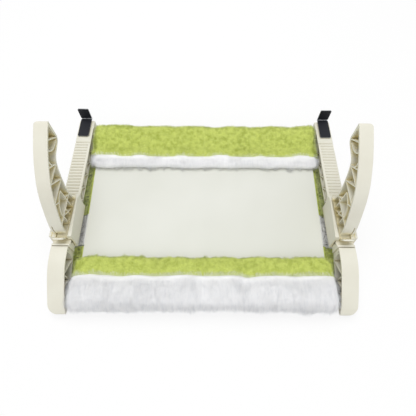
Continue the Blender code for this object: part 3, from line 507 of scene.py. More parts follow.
# A CAD node and the piece's name without the side, then finish, body, slot, radius, segments.
HARD_PAIRS = (
    ("side_bracket", "bracket", RAIL_CREAM, "base", "cream_plastic", RAIL_RADIUS, 3),
    ("clamp_arm", "arm", CREAM, "clamp_{}", "cream_plastic", EDGE_RADIUS, 3),
    ("release_tongue", "tongue", CREAM, "tongue_{}", "cream_plastic", EDGE_RADIUS, 3),
    ("hook_plate", "hook", STEEL, "base", "hook_steel", THIN_EDGE_RADIUS, 2),
    ("hook_foot_pad", "foot_pad", RUBBER, "base", "pad_rubber", THIN_EDGE_RADIUS, 2),
    ("hook_tab_pad", "tab_pad", RUBBER, "base", "pad_rubber", THIN_EDGE_RADIUS, 2),
)
for side in SIDES:
    for node, name, finish, body, slot, radius, segments in HARD_PAIRS:
        rounded(f"{node}_{side}", f"{name}_{side}", finish, body.format(side), radius,
                segments)
rounded("backing_board", "board", BOARD, "base", EDGE_RADIUS, 2)

# %% [markdown]
# Rods, plugs and screws are small or lie inside the rolls, and their CAD meshes are good enough.
# They stay as they are and only get their finish.

# %% Finishes for the pieces that stay as they are
for node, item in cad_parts.items():
    if "rod" in node or "screw" in node:
        item.data.materials.clear()
        item.data.materials.append(PLUG if "plug" in node else STEEL)
print("steel on rods and screws, grey plastic on the plugs")

# %% [markdown]
# ## The plush cover
#
# The cover is sewn from strips of long-pile plush, green and white by turns, round each tube and
# across the bed. Under the pile is a soft padded body. Each strip's body is lofted from sections
# across the bed, then filled by cloth simulation, so its surface gets the slight swell and the
# dents of real padding. The pile is added afterwards, as real tufts that stand on it.
#
# Places are measured from the tube at each end of the bed: reach is the distance from the tube's
# middle towards the middle of the bed.

# %% Sizes of the cover
PILE_DEPTH = 0.0025          # how far the padded body lies inside the outer shape
FLOOR_SKIN = PILE_DEPTH * 0.6                          # and above the floor
REAR_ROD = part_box("rear_rod")
FRONT_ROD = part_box("front_rod")
BOARD_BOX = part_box("backing_board")
BOARD_TOP = BOARD_BOX[1][2]
BOARD_BOTTOM = BOARD_BOX[0][2]
CLEARANCE = 0.0003
SIDE_LIMIT = 0.2076          # the arms' sleeves slide just outside this
NOSE_LIMIT = 0.2117          # beyond the sleeves' travel only the brackets themselves stand
HEM_THICKNESS = 0.0110
HEM_CORNER_RUN = 0.022       # a hem's corners round off over this run
BORE = 0.0068
SEAM_OVERLAP = 0.0030        # sewn strips run into each other, so no gap opens at a seam
MAT_OVERLAP = 0.0010
GREEN_DROP = 0.0016          # the curly green pile stands higher, so its body lies lower there


def middle(box, axis):
    return (box[0][axis] + box[1][axis]) / 2


# Reaches of hem and seam, half the strips' width, how much a corner of the hem is cut back, and
# how far the roll swells outwards past its radius.
ENDS = {
    "rear": {"y": middle(REAR_ROD, 1), "z": middle(REAR_ROD, 2), "inward": -1, "radius": 0.020,
             "hem": 0.0750, "seam": 0.0520, "half": 0.2066, "corner": 0.0015,
             "bulge": -0.0012},
    "front": {"y": middle(FRONT_ROD, 1), "z": middle(FRONT_ROD, 2), "inward": 1, "radius": 0.022,
              "hem": 0.0655, "seam": 0.0290, "half": 0.2080, "corner": 0.0075,
              "bulge": 0.0030},
}
print("tubes at", {word: (round(end["y"], 4), round(end["z"], 4)) for word, end in ENDS.items()})

# %% [markdown]
# Sewn fabric never runs quite straight. Three sine waves whose lengths don't fit each other give
# every seam, hem and top line a slow, uneven wave, the same one as in the CAD model.

# %% Wavy lines of the cover
WAVE_LENGTH = 0.072
TOP_WAVE, SEAM_WAVE, HEM_WAVE = 0.0007, 0.0014, 0.0011


def wander(x, size, phase):
    """The uneven wave of the hems and seams."""
    turn = 2 * math.pi * x / WAVE_LENGTH
    return size * (np.sin(turn + phase) + 0.6 * np.sin(0.41 * turn + 2 * phase)
                   + 0.35 * np.sin(1.9 * turn))


def top_of(end, x, reach):
    """Height of the cover's outer shape above the floor, by the distance from the tube."""
    phase = end["y"] / WAVE_LENGTH
    high, low = end["z"] + end["radius"], BOARD_TOP + CLEARANCE + HEM_THICKNESS
    share = (1 + math.cos(math.pi * min(1, reach / end["hem"]))) / 2
    return low + (high - low) * share + wander(x, TOP_WAVE, phase + 1)


def seam_of(end, x):
    return end["seam"] + wander(x, SEAM_WAVE, end["y"] / WAVE_LENGTH)


def hem_of(end, x):
    corner = max(0, (abs(x) - end["half"] + HEM_CORNER_RUN) / HEM_CORNER_RUN)
    wave = wander(x, HEM_WAVE, end["y"] / WAVE_LENGTH + 2)
    return end["hem"] + wave - end["corner"] * corner ** 2


print("rear seam and hem at the middle:",
      round(seam_of(ENDS["rear"], 0), 4), round(hem_of(ENDS["rear"], 0), 4))

# %% [markdown]
# A section is a closed outline of a strip, seen from the side. The roll's goes from the board's
# edge over its flap and round the tube, the hem's lies on the board with a rounded free edge,
# and the mat's is flat and drawn in at its seams on the floor side.

# %% Sections of the padded bodies
BOARD_SIDE = 0.0177          # the roll stands against the board's edge at this reach,
SIDE_HEIGHTS = (0.0055, 0.011)                         # with points at these heights
FLAT_REACH = 0.0088          # below the tube the roll lies flat on the floor up to here
ROLL_STEPS = 14
HEM_STEPS = 6
MAT_SHARES = (0, 0.04, 0.12, 0.3, 0.5, 0.7, 0.88, 0.96, 1)
MAT_LIFTS = (0.0032, 0.0014, 0.0004, 0, 0, 0, 0.0004, 0.0014, 0.0032)


def roll_section(end, x):
    """Outer outline of the roll, from the board's edge round the tube to the floor and back."""
    y, z, inward, radius = end["y"], end["z"], end["inward"], end["radius"]
    edge = y + inward * BOARD_SIDE
    under = BOARD_TOP + CLEARANCE
    seam = seam_of(end, x) + SEAM_OVERLAP
    points = [(edge, height) for height in (*SIDE_HEIGHTS, under)]
    points += [(y + inward * (BOARD_SIDE + (seam - BOARD_SIDE) * share), under)
               for share in (0.33, 0.66, 1)]
    green = end is ENDS["rear"]
    points += [(y + inward * seam * share,
                top_of(end, x, seam * share) - PILE_DEPTH - GREEN_DROP * green * share ** 3)
               for share in (1, 0.84, 0.68, 0.52, 0.36, 0.18)]
    swell = top_of(end, x, 0) - z - PILE_DEPTH
    for i in range(ROLL_STEPS + 1):
        angle = math.pi * i / ROLL_STEPS
        points.append((y - inward * (radius + end["bulge"] - PILE_DEPTH) * math.sin(angle),
                       max(FLOOR_SKIN, z + swell * math.cos(angle))))
    points.append((y + inward * FLAT_REACH, FLOOR_SKIN))
    return points


def hem_section(end, x):
    """Outline of the strip that lies on the board, rounded at its free edge."""
    y, inward = end["y"], end["inward"]
    under = BOARD_TOP + CLEARANCE
    seam = seam_of(end, x) - SEAM_OVERLAP
    last = hem_of(end, x) - HEM_THICKNESS / 2 - PILE_DEPTH / 2
    shares = (0, 0.25, 0.5, 0.75, 1)
    reaches = [seam + (last - seam) * share for share in shares]
    green = end is ENDS["front"]
    points = [(y + inward * reach,
               top_of(end, x, reach) - PILE_DEPTH - GREEN_DROP * green * (1 - share))
              for reach, share in zip(reaches, shares)]
    centre = (points[-1][1] + under) / 2
    for i in range(1, HEM_STEPS):
        angle = math.pi * i / HEM_STEPS
        points.append((y + inward * (last + HEM_THICKNESS / 2 * math.sin(angle)),
                       centre + (centre - under) * math.cos(angle)))
    return points + [(y + inward * reach, under) for reach in reaches[::-1]]


def mat_section(rear, front):
    """Outline of a strip of the mat, drawn in at its seams on the floor side."""
    rear, front = rear + MAT_OVERLAP, front - MAT_OVERLAP
    run = rear - front
    points = [(rear - run * share, FLOOR_SKIN + lift) for share, lift in zip(MAT_SHARES, MAT_LIFTS)]
    return points + [(rear - run * share, BOARD_BOTTOM - CLEARANCE) for share in MAT_SHARES[::-1]]


print("a roll's outline has", len(roll_section(ENDS["rear"], 0)), "points")

# %% [markdown]
# Each body is a loft: the same outline at many places across the bed, drawn in at the ends like
# a stuffed tube. A roll is a sleeve, so a second ring of points makes the bore for the tube.

# %% Lofted bodies
STATIONS = 56
END_CROWDING = 0.92          # 1 would crowd the sections most at the two ends
END_TAPER = 0.010
END_DRAW = 0.0025


def station_places(half):
    """Places across the bed, closer together at its two ends."""
    even = np.linspace(-1, 1, STATIONS)
    return (half * np.sin(even * math.pi / 2 * END_CROWDING)
            / math.sin(math.pi / 2 * END_CROWDING))


def drawn_in(points, left, most):
    """An outline pulled in towards its middle; left runs from 0 inside to 1 at the very end."""
    draw = most * (1 - math.sqrt(max(0, 1 - left ** 2)))
    places = np.array(points)
    low, high = places.min(0), places.max(0)
    centre, extent = (low + high) / 2, (high - low) / 2
    return centre + (places - centre) * (1 - draw / extent)


def bridge(work, one, two):
    """A band of faces between two rings of points."""
    for i in range(len(one)):
        j = (i + 1) % len(one)
        work.faces.new((one[i], one[j], two[j], two[i]))


def loft(name, half, section, bore=None, draw=END_DRAW):
    """A closed body from outlines across the bed; bore gives the tube's centre, if it has one."""
    work = bmesh.new()
    outer, inner = [], []
    for x in station_places(half):
        left = 1 - min(1, (half - abs(x)) / END_TAPER)
        ring = drawn_in(section(x), left, draw)
        outer.append([work.verts.new((x, y, z)) for y, z in ring])
        if bore:
            offsets = ring - np.array(bore)
            unit = offsets / np.linalg.norm(offsets, axis=1, keepdims=True)
            inner.append([work.verts.new((x, *(np.array(bore) + BORE * u))) for u in unit])
    for rings in (outer, inner):
        for one, two in zip(rings, rings[1:]):
            bridge(work, one, two)
    for place in (0, -1):
        if bore:
            bridge(work, outer[place], inner[place])
        else:
            work.faces.new(outer[place])
    bmesh.ops.recalc_face_normals(work, faces=work.faces)
    return link_object(name, finished_mesh(work, name))


print("each body is lofted through", STATIONS, "sections")

# %% [markdown]
# The filling is a short cloth simulation. The lofted body is remeshed to even small faces and
# blown up by a little pressure with no gravity. How far a point may move is capped, and it stays
# out of the tube, the board, the floor and the arms' path. Slow noise adds the lumps of padding.

# %% Filling by cloth simulation
VOXEL = 0.0045
CLOTH_FRAMES = 20
CLOTH = {"use_pressure": True, "uniform_pressure_force": 4, "quality": 4,
         "tension_stiffness": 25, "compression_stiffness": 25, "bending_stiffness": 2}
MOVE_CAP = 0.0035
LUMP_SIZE = 0.034
LUMP_HEIGHT = 0.0009
NOISE_WAVES = 9
TINY = 1e-9                  # keeps a division by a length of nothing from failing


def vertex_array(mesh, key="co"):
    """The vertices' places, or with the key normal their normals, as rows."""
    flat = np.empty(len(mesh.vertices) * 3)
    mesh.vertices.foreach_get(key, flat)
    return flat.reshape(-1, 3)


def bake_modifiers(item):
    """Turn what the modifiers make into the object's own plain mesh."""
    result = evaluated_mesh(item)
    item.modifiers.clear()
    item.data = result


def smooth_noise(places, size, seed):
    """A soft random field from a few waves in fixed random directions."""
    generator = np.random.default_rng(seed)
    total = np.zeros(len(places))
    for _ in range(NOISE_WAVES):
        direction = generator.normal(size=3)
        direction /= np.linalg.norm(direction)
        wave = 2 * math.pi / (size * generator.uniform(0.7, 1.6))
        total += np.sin(places @ direction * wave + generator.uniform(0, 2 * math.pi))
    return total / math.sqrt(NOISE_WAVES)


def inflate(item):
    """Blow the body up a little, as padding does, and give its places before and after."""
    remesh = item.modifiers.new("even faces", "REMESH")
    remesh.mode = "VOXEL"
    remesh.voxel_size = VOXEL
    bake_modifiers(item)
    start = vertex_array(item.data)
    cloth = item.modifiers.new("padding", "CLOTH")
    for key, value in CLOTH.items():
        setattr(cloth.settings, key, value)
    cloth.settings.effector_weights.gravity = 0
    cloth.collision_settings.use_collision = False
    cloth.point_cache.frame_start = 1
    cloth.point_cache.frame_end = CLOTH_FRAMES
    for moment in range(1, CLOTH_FRAMES + 1):
        bpy.context.scene.frame_set(moment)
    bake_modifiers(item)
    bpy.context.scene.frame_set(1)
    return start, vertex_array(item.data)


def fill(item, allowed, keep_out, seed):
    """Inflate a body within a cap. allowed is a share per point, keep_out moves points clear."""
    start, after = inflate(item)
    move = after - start
    length = np.linalg.norm(move, axis=1, keepdims=True)
    move *= np.minimum(1, MOVE_CAP / np.maximum(length, TINY)) * allowed(start)[:, None]
    lumps = smooth_noise(start, LUMP_SIZE, seed) * LUMP_HEIGHT
    normals = vertex_array(item.data, "normal")
    places = keep_out(start + move + normals * (lumps * allowed(start))[:, None])
    item.data.vertices.foreach_set("co", places.astype(np.float32).ravel())
    item.data.update()
    item.data.shade_smooth()
    return item


print("padding moves by", MOVE_CAP * 1000, "mm at most")

# %% [markdown]
# Each strip has its own rule for where padding may swell and what it keeps clear of. A sewn seam
# holds its two strips level, so they hardly move there. A roll keeps round its tube and above the
# board, and a hem keeps above the board and inside the brackets.

# %% Limits of rolls and hems
SEAM_HOLD = 0.011            # padding is held level over about this run from a seam
SLOT_REACH = 0.0185          # past this reach a roll lies on the board, not beside it
ROLL_FLOOR = 0.0014          # lowest height of a roll's body
BORE_HOLD = 0.009            # a roll's body doesn't swell within this distance of the tube's
                             # middle, and swells freely a soft run further out
SOFT_RUN = 0.004
HEM_BY_NOSE = NOSE_LIMIT - 0.002
HEM_BY_SLEEVE = SIDE_LIMIT - 0.0006


def ramp(values, run):
    """0 below nothing, 1 beyond the run, and straight between them."""
    return np.clip(values / run, 0, 1)


def centre_of(end):
    return np.array((end["y"], end["z"]))


def reach_of(end, places):
    """Distance from the tube towards the middle of the bed."""
    return (places[:, 1] - end["y"]) * end["inward"]


def past_seam(end, places):
    """How far past its seam a place lies, on the hem's side."""
    return reach_of(end, places) - seam_of(end, places[:, 0])


def held_at_seam(end, places):
    return np.clip(np.abs(past_seam(end, places)) / SEAM_HOLD - 0.3, 0, 1)


def roll_keep_out(end):
    def move(places):
        offset = places[:, 1:] - centre_of(end)
        distance = np.linalg.norm(offset, axis=1, keepdims=True)
        fixed = np.where(distance < BORE, offset / np.maximum(distance, TINY) * BORE, offset)
        places[:, 1:] = fixed + centre_of(end)
        over = reach_of(end, places) > SLOT_REACH
        places[over, 2] = np.maximum(places[over, 2], BOARD_TOP + CLEARANCE)
        places[:, 2] = np.maximum(places[:, 2], ROLL_FLOOR)
        places[:, 0] = np.clip(places[:, 0], -end["half"] - 0.001, end["half"] + 0.001)
        return places
    return move


def roll_allowed(end):
    def share(places):
        distance = np.linalg.norm(places[:, 1:] - centre_of(end), axis=1)
        slot = (reach_of(end, places) > 0.015) & (places[:, 2] < BOARD_TOP + 0.003)
        clear = ramp(distance - BORE_HOLD, SOFT_RUN) * np.where(slot, 0, 1)
        return clear * held_at_seam(end, places)
    return share


def hem_keep_out(places):
    places[:, 2] = np.maximum(places[:, 2], BOARD_TOP + CLEARANCE)
    widest = np.where(places[:, 1] < 0, HEM_BY_NOSE, HEM_BY_SLEEVE)
    places[:, 0] = np.clip(places[:, 0], -widest, widest)
    return places


def hem_allowed(end):
    def share(places):
        return ramp(places[:, 2] - BOARD_TOP - 0.001, SOFT_RUN) * held_at_seam(end, places)
    return share


print("hems end at", round(HEM_BY_SLEEVE, 4), "beside the sleeves and at",
      round(HEM_BY_NOSE, 4), "by the noses")

# %% [markdown]
# The mat lies under the board. In the photograph its plush shows beside the board and runs on
# under the rails, so its lowest part is pushed out sideways there, as a thin flat lip.

# %% Limits of the mat
MAT_HALF = 0.2055
MAT_FLOOR = 0.0012           # lowest height of the mat's body
MAT_SIDE = SIDE_LIMIT - 0.002
UNDER_RAIL = 0.0062          # below this height the plush may run out under the rails,
RAIL_REACH = 0.2240          # as far as this
LIP_START, LIP_RUN = 0.192, 0.008                      # where the lip begins, across the bed
LIP_FADE = 0.0012            # the lip ends this far above the free height, softly
LIP_SOFT = 0.0016
MAT_SPREAD = 0.0140          # how far it runs out
LIP_ROUNDING = 0.0015
LIP_DROP = 0.0020            # the side above it sinks, so that the lip stays thin


def mat_keep_out(places):
    """The mat keeps below the board, and its lowest part runs out as a flat lip under the rails."""
    places[:, 2] = np.clip(places[:, 2], MAT_FLOOR, BOARD_BOTTOM - CLEARANCE)
    places[:, 0] = np.clip(places[:, 0], -MAT_SIDE, MAT_SIDE)
    height = places[:, 2].copy()
    outer = ramp(np.abs(places[:, 0]) - LIP_START, LIP_RUN)
    low = ramp(UNDER_RAIL + LIP_FADE - height, LIP_SOFT)
    reach = MAT_SPREAD * low - LIP_ROUNDING * (height < 0.002)
    places[:, 0] += np.sign(places[:, 0]) * reach * outer
    waist = ramp(height - MAT_FLOOR, SOFT_RUN) * ramp(BOARD_BOTTOM - height, SOFT_RUN)
    places[:, 2] -= LIP_DROP * waist * outer
    return places


def mat_allowed(places):
    return ramp(BOARD_BOTTOM - 0.002 - places[:, 2], SOFT_RUN)


print("the mat's lip runs out", MAT_SPREAD * 1000, "mm")

# %% [markdown]
# Now the seven strips are made: a roll and a hem at each tube, and three strips of mat between
# the board's two edges. The mat's strips share a seed, so their lumps run on over the seams.

# %% The seven strips
TUBE_TO_SEAM = 0.1615        # from the rear tube to the mat's first seam
MIDDLE_WIDTH = 0.0562
MAT_FIRST_SEAM = ENDS["rear"]["y"] - TUBE_TO_SEAM
MAT_SECOND_SEAM = MAT_FIRST_SEAM - MIDDLE_WIDTH
ROLL_SEED, HEM_SEED, MAT_SEED = 11, 12, 13

strips = {}
for word, end in ENDS.items():
    roll = loft(f"{word}_roll_body", end["half"], lambda x: roll_section(end, x),
                bore=(end["y"], end["z"]))
    strips[f"{word}_roll"] = fill(roll, roll_allowed(end), roll_keep_out(end), ROLL_SEED)
    hem = loft(f"{word}_hem_body", end["half"], lambda x: hem_section(end, x))
    strips[f"{word}_hem"] = fill(hem, hem_allowed(end), hem_keep_out, HEM_SEED)
for word, rear, front in (("mat_rear_strip", BOARD_BOX[1][1], MAT_FIRST_SEAM),
                          ("mat_middle_strip", MAT_FIRST_SEAM, MAT_SECOND_SEAM),
                          ("mat_front_strip", MAT_SECOND_SEAM, BOARD_BOX[0][1])):
    outline = mat_section(rear, front)
    strip = loft(f"{word}_body", MAT_HALF, lambda x: outline, draw=0)
    strips[word] = fill(strip, mat_allowed, mat_keep_out, MAT_SEED)
for word, item in strips.items():
    print(word, len(item.data.polygons), "faces")

# %% [markdown]
# ## Pile
#
# Long plush pile is thousands of soft locks, each leaning its own way and curling at the tip.
# Green strips have a shorter, curly pile, and white ones a longer pile that is combed one way.
# One small lock of each kind is modelled here and kept out of sight. Because it is repeated
# hundreds of thousands of times, it has only a few faces.

# %% Two kinds of lock
LOCK_SIDES = 3
LOCK_RINGS = ((0.0, 1.0), (0.36, 0.86), (0.72, 0.6))      # height and width shares


def make_lock(name, curl):
    """One soft lock, a unit high and wide; curl is how far the tip leans over, in widths."""
    work = bmesh.new()
    height = work.verts.layers.float.new("height")
    rings = []
    for level, width in LOCK_RINGS:
        ring = []
        for i in range(LOCK_SIDES):
            angle = 2 * math.pi * i / LOCK_SIDES
            vertex = work.verts.new((width * math.cos(angle) + curl * level ** 2,
                                     width * math.sin(angle), level))
            vertex[height] = level
            ring.append(vertex)
        rings.append(ring)
    tip = work.verts.new((curl, 0, 1))
    tip[height] = 1.0
    work.faces.new(rings[0][::-1])
    for one, two in zip(rings, rings[1:]):
        bridge(work, one, two)
    for i in range(LOCK_SIDES):
        work.faces.new((rings[-1][i], rings[-1][(i + 1) % LOCK_SIDES], tip))
    lock = link_object(name, finished_mesh(work, name))
    lock.hide_render = True
    return lock


CURLED_LOCK = make_lock("curled_lock", curl=4.0)
STRAIGHT_LOCK = make_lock("straight_lock", curl=7.0)
print("each lock has", len(STRAIGHT_LOCK.data.polygons), "faces")

# %% [markdown]
# Geometry Nodes plant the locks. The tree is built in the script, with a named input for each
# size, so that one tree serves every strip. These helpers add its nodes.

# %% The pile tree and its inputs
PILE_INPUTS = (("Lock", "Object", None), ("Material", "Material", None),
               ("Spacing", "Float", 0.002), ("Length", "Float", 0.006),
               ("Width", "Float", 0.0008), ("Lean", "Float", 0.5), ("Jitter", "Float", 0.4),
               ("Clump scale", "Float", 90.0), ("Spin", "Float", 0.5), ("Floor", "Float", 0.0),
               ("Side limit", "Float", 0.2), ("Low limit", "Float", 0.2),
               ("Free from", "Float", 1.0), ("Seed", "Int", 0))
PILE_TREE = bpy.data.node_groups.new("plush_pile", "GeometryNodeTree")


def add_socket(label, direction, kind, value=None):
    socket = PILE_TREE.interface.new_socket(label, in_out=direction,
                                            socket_type=f"NodeSocket{kind}")
    if value is not None:
        socket.default_value = value


def add(kind, links=(), **settings):
    return add_node(PILE_TREE, kind, links, **settings)


def maths(operation, first, second):
    return add("ShaderNodeMath", [(0, first), (1, second)], operation=operation).outputs[0]


def vectors(operation, first, second):
    return add("ShaderNodeVectorMath", [(0, first), (1, second)], operation=operation).outputs[0]


def scaled(vector, factor):
    return add("ShaderNodeVectorMath", [(0, vector), ("Scale", factor)],
               operation="SCALE").outputs[0]


def combined(x, y, z):
    return add("ShaderNodeCombineXYZ", [("X", x), ("Y", y), ("Z", z)]).outputs[0]


def chance(low, high, seed):
    """A random number of its own for each lock."""
    return add("FunctionNodeRandomValue", [(2, low), (3, high), ("Seed", seed)],
               data_type="FLOAT").outputs[1]


def stored(name, kind="FLOAT"):
    """An attribute that a body's mesh carries."""
    return add("GeometryNodeInputNamedAttribute", [("Name", name)], data_type=kind).outputs[0]


def store(points, name, value, kind="FLOAT"):
    return add("GeometryNodeStoreNamedAttribute",
               [("Geometry", points), ("Name", name), ("Value", value)],
               data_type=kind, domain="POINT").outputs[0]


add_socket("Geometry", "INPUT", "Geometry")
for label, kind, value in PILE_INPUTS:
    add_socket(label, "INPUT", kind, value)
add_socket("Geometry", "OUTPUT", "Geometry")
given = add("NodeGroupInput").outputs
print("the pile tree has", len(PILE_INPUTS) + 1, "inputs")

# %% [markdown]
# Poisson disks keep the locks a spacing apart. Each lock leans from the body's normal along the
# combed direction, stirred by a coarse noise, which makes neighbours clump, and by a little
# chance. Then it spins about itself and takes its own length.

# %% Where the locks stand and how they lean
PILE_DENSITY = 3000000.0     # tries per square metre; the spacing then thins them out
CLUMP_FORCE = 3.2
WILDNESS = 0.25
SHORTEST, LONGEST = 0.75, 1.15

points = add("GeometryNodeDistributePointsOnFaces",
             [("Mesh", given["Geometry"]), ("Distance Min", given["Spacing"]),
              ("Density Max", PILE_DENSITY), ("Density Factor", stored("planted")),
              ("Seed", given["Seed"])], distribute_method="POISSON")
normal = points.outputs["Normal"]
toned = store(points.outputs["Points"], "tone", chance(0.0, 1.0, 3))
skinned = store(toned, "skin", normal, "FLOAT_VECTOR")

clump = add("ShaderNodeTexNoise", [("Scale", given["Clump scale"]), ("Detail", 2.5)])
centred = vectors("SUBTRACT", clump.outputs["Color"], (0.5, 0.5, 0.5))
wild = add("FunctionNodeRandomValue", [(0, (-WILDNESS,) * 3), (1, (WILDNESS,) * 3)],
           data_type="FLOAT_VECTOR").outputs[0]
clumped = vectors("MULTIPLY", centred, (CLUMP_FORCE,) * 3)
stir = scaled(vectors("ADD", clumped, wild), given["Jitter"])
leaning = vectors("ADD", normal, scaled(stored("comb", "FLOAT_VECTOR"), given["Lean"]))
direction = vectors("ADD", leaning, stir)
down = vectors("MULTIPLY", normal, (-1.0, -1.0, -1.0))
aim = add("FunctionNodeAxesToRotation", [(0, direction), (1, down)],
          primary_axis="Z", secondary_axis="X").outputs[0]
twist = maths("MULTIPLY", chance(-1.0, 1.0, 5), given["Spin"])
spun = add("FunctionNodeRotateRotation",
           [("Rotation", aim), ("Rotate By", combined(0.0, 0.0, twist))],
           rotation_space="LOCAL").outputs[0]
long = maths("MULTIPLY", chance(SHORTEST, LONGEST, 8), given["Length"])
tall = maths("MULTIPLY", long, stored("growth"))
size = combined(given["Width"], given["Width"], tall)
print("locks stand and lean with", len(PILE_TREE.nodes), "nodes")

# %% [markdown]
# The locks are then made real and held inside the space that the cover has: above the floor or
# the board, and within a side limit. A wider low limit holds for what lies low enough to pass
# under the rails, and for what lies further back than the sleeves ever slide.

# %% Real locks, kept inside their space
shape = add("GeometryNodeObjectInfo", [("Object", given["Lock"])])
locks = add("GeometryNodeInstanceOnPoints",
            [("Points", skinned), ("Instance", shape.outputs["Geometry"]),
             ("Rotation", spun), ("Scale", size)])
real = add("GeometryNodeRealizeInstances", [(0, locks.outputs[0])])
apart = add("ShaderNodeSeparateXYZ", [(0, add("GeometryNodeInputPosition").outputs[0])]).outputs
raised = maths("MAXIMUM", apart["Z"], given["Floor"])
low = maths("LESS_THAN", apart["Z"], UNDER_RAIL)
behind = maths("GREATER_THAN", apart["Y"], given["Free from"])
free = maths("MAXIMUM", low, behind)
limit = add("ShaderNodeMix", [("Factor", free), (2, given["Side limit"]),
                              (3, given["Low limit"])]).outputs[0]
held = maths("MAXIMUM", maths("MINIMUM", apart["X"], limit), maths("MULTIPLY", limit, -1.0))
moved = add("GeometryNodeSetPosition",
            [("Geometry", real.outputs[0]), ("Position", combined(held, apart["Y"], raised))])
add("NodeGroupOutput", [(0, add("GeometryNodeSetMaterial",
                                [("Geometry", moved.outputs[0]),
                                 ("Material", given["Material"])]).outputs[0])])
print("the whole pile tree has", len(PILE_TREE.nodes), "nodes")

# %% [markdown]
# The pile's colour is darkest at the root, a painted shade where light doesn't reach, and palest at
# the tip, and each lock differs a little from the next. The lock carries its height as an
# attribute, and each planted copy gets a random tone. The mat's pile also gets painted shade: it
# turns darker in the narrow gap under the rails, where ambient occlusion finds it. The body below
# has a colour like the root's.

# %% Finishes of the plush
PATCH_SCALE = 130.0
GAP_REACH = 0.014


def pile_finish(name, colours, depth=0.8, streak=(1, 1, 1), shade=None, **sockets):
    """Pile coloured from root to tip, with patches of another tone, as deep as depth."""
    root, shaft, tip, patch = (paint(*colour) for colour in colours)
    finish = new_finish(name, roughness=0.85, Specular_IOR_Level=0.15, Sheen_Roughness=0.5,
                        **sockets)
    height, tone = (add_node(finish, "ShaderNodeAttribute", attribute_name=name).outputs["Fac"]
                    for name in ("height", "tone"))
    broad = spread(finish, noise(finish, PATCH_SCALE, stretch=streak), 0.42, 0.60)
    patches = add_node(finish, "ShaderNodeMath", [(0, broad), (1, depth)], operation="MULTIPLY")
    lower = mix_colour(finish, spread(finish, height, 0.0, 0.5), root, shaft)
    upper = mix_colour(finish, spread(finish, height, 0.45, 1.0), lower, tip)
    toned = mix_colour(finish, spread(finish, tone, -0.4, 2.6), upper, root)
    colour = mix_colour(finish, patches.outputs[0], toned, patch)
    # painted shade: with a shade colour, the pile darkens in narrow gaps such as under the rails
    if shade:
        colour = mix_colour(finish, openness(finish, GAP_REACH, 0.2, 0.6), paint(*shade), colour)
    connect(finish, "Base Color", colour)
    return finish


def backing_finish(name, dark, light):
    """The woven backing that shows between the locks."""
    finish = new_finish(name, roughness=0.95, Specular_IOR_Level=0.1, Sheen_Weight=0.2)
    weave = noise(finish, scale=420)
    connect(finish, "Base Color", mottle(finish, weave, dark, light, 0.3, 0.7))
    bumps(finish, weave, distance=0.0006, strength=0.8)
    return finish


# Root, shaft, tip and patch of each colour, and the painted shade it turns to in the gap under the
# rails.
GREENS = ((202, 215, 98), (227, 238, 134), (240, 248, 170), (162, 178, 64))
WHITES = ((246, 247, 249), (254, 254, 254), (255, 255, 255), (232, 234, 237))
GREEN_SHADE, WHITE_SHADE = (92, 98, 50), (122, 120, 108)
GREEN_LOOK = {"colours": GREENS, "Sheen_Weight": 0.3}
WHITE_LOOK = {"colours": WHITES, "Sheen_Weight": 0.2,
              "streak": (2.2, 0.5, 0.5)}               # streaks along the combed pile
GREEN_BODY = backing_finish("green_backing", (196, 208, 104), (216, 227, 134))
WHITE_BODY = backing_finish("white_backing", (250, 250, 251), (254, 254, 254))
PLUSH = {
    "green": (pile_finish("green_pile", **GREEN_LOOK), GREEN_BODY),
    "white": (pile_finish("white_pile", **WHITE_LOOK), WHITE_BODY),
    # The mat's two finishes are shaded copies of the others, with painted shade under the rails.
    "green mat": (pile_finish("green_mat_pile", shade=GREEN_SHADE, **GREEN_LOOK), GREEN_BODY),
    "white mat": (pile_finish("white_mat_pile", shade=WHITE_SHADE, **WHITE_LOOK), WHITE_BODY),
}
print("plush:", ", ".join(pile.name for pile, _ in PLUSH.values()))

# %% [markdown]
# Each strip says how its pile is combed. Round a tube it runs with the curve, away from the
# board; on a hem it runs over the free edge. Where a body faces the board, the tube or the next
# strip, no pile is planted. Near a seam the pile stands up and leans over it, so that the seam
# reads as a soft valley and no backing shows.

# %% Combing
WHITE_STRIPS = ("rear_hem", "front_roll")
# How far from a seam the pile is combed as usual, how much it leans over it, and how long it
# is there.
AT_SEAM = {"white": {"blend": 0.0032, "lean": 0.7, "length": 0.8},
           "green": {"blend": 0.007, "lean": 0.3, "length": 0.5}}
SEAM_TRIM = 0.014            # the pile is shorter over this run from a seam
SEAM_HEIGHT = 0.007          # a seam's hidden faces lie up to here above the board
SEAM_SKIN = 0.001
END_FACE_LEAN = 0.35         # on a strip's end faces the pile leans less
HEM_DROOP = -0.3             # a hem's pile runs down a little, over the free edge,
FLAP_RISE = 0.1              # and that of a roll's flap up a little
FACES_DOWN, FACES_UP, FACES_END, FACES_SEAM = -0.6, 0.5, 0.3, 0.8    # parts of a normal
BORE_SKIN = 0.002            # faces this near to the bore or the board are hidden


def at_seam(word):
    return AT_SEAM["white" if word in WHITE_STRIPS else "green"]


def comb_mat(word, places, normals, comb, planted):
    """Under the board the pile lies towards the front, and none grows on top or at the sides."""
    comb[:, 1] = -1
    planted[(normals[:, 2] > FACES_UP) | (np.abs(normals[:, 0]) > FACES_END)] = 0
    planted[np.abs(normals[:, 1]) > FACES_SEAM] = 0


def comb_hem(end, places, normals, comb, planted):
    comb[:, 1] = end["inward"]
    comb[:, 2] = HEM_DROOP
    planted[normals[:, 2] < FACES_DOWN] = 0
    low = places[:, 2] < BOARD_TOP + SEAM_HEIGHT
    planted[(past_seam(end, places) < SEAM_SKIN) & low] = 0


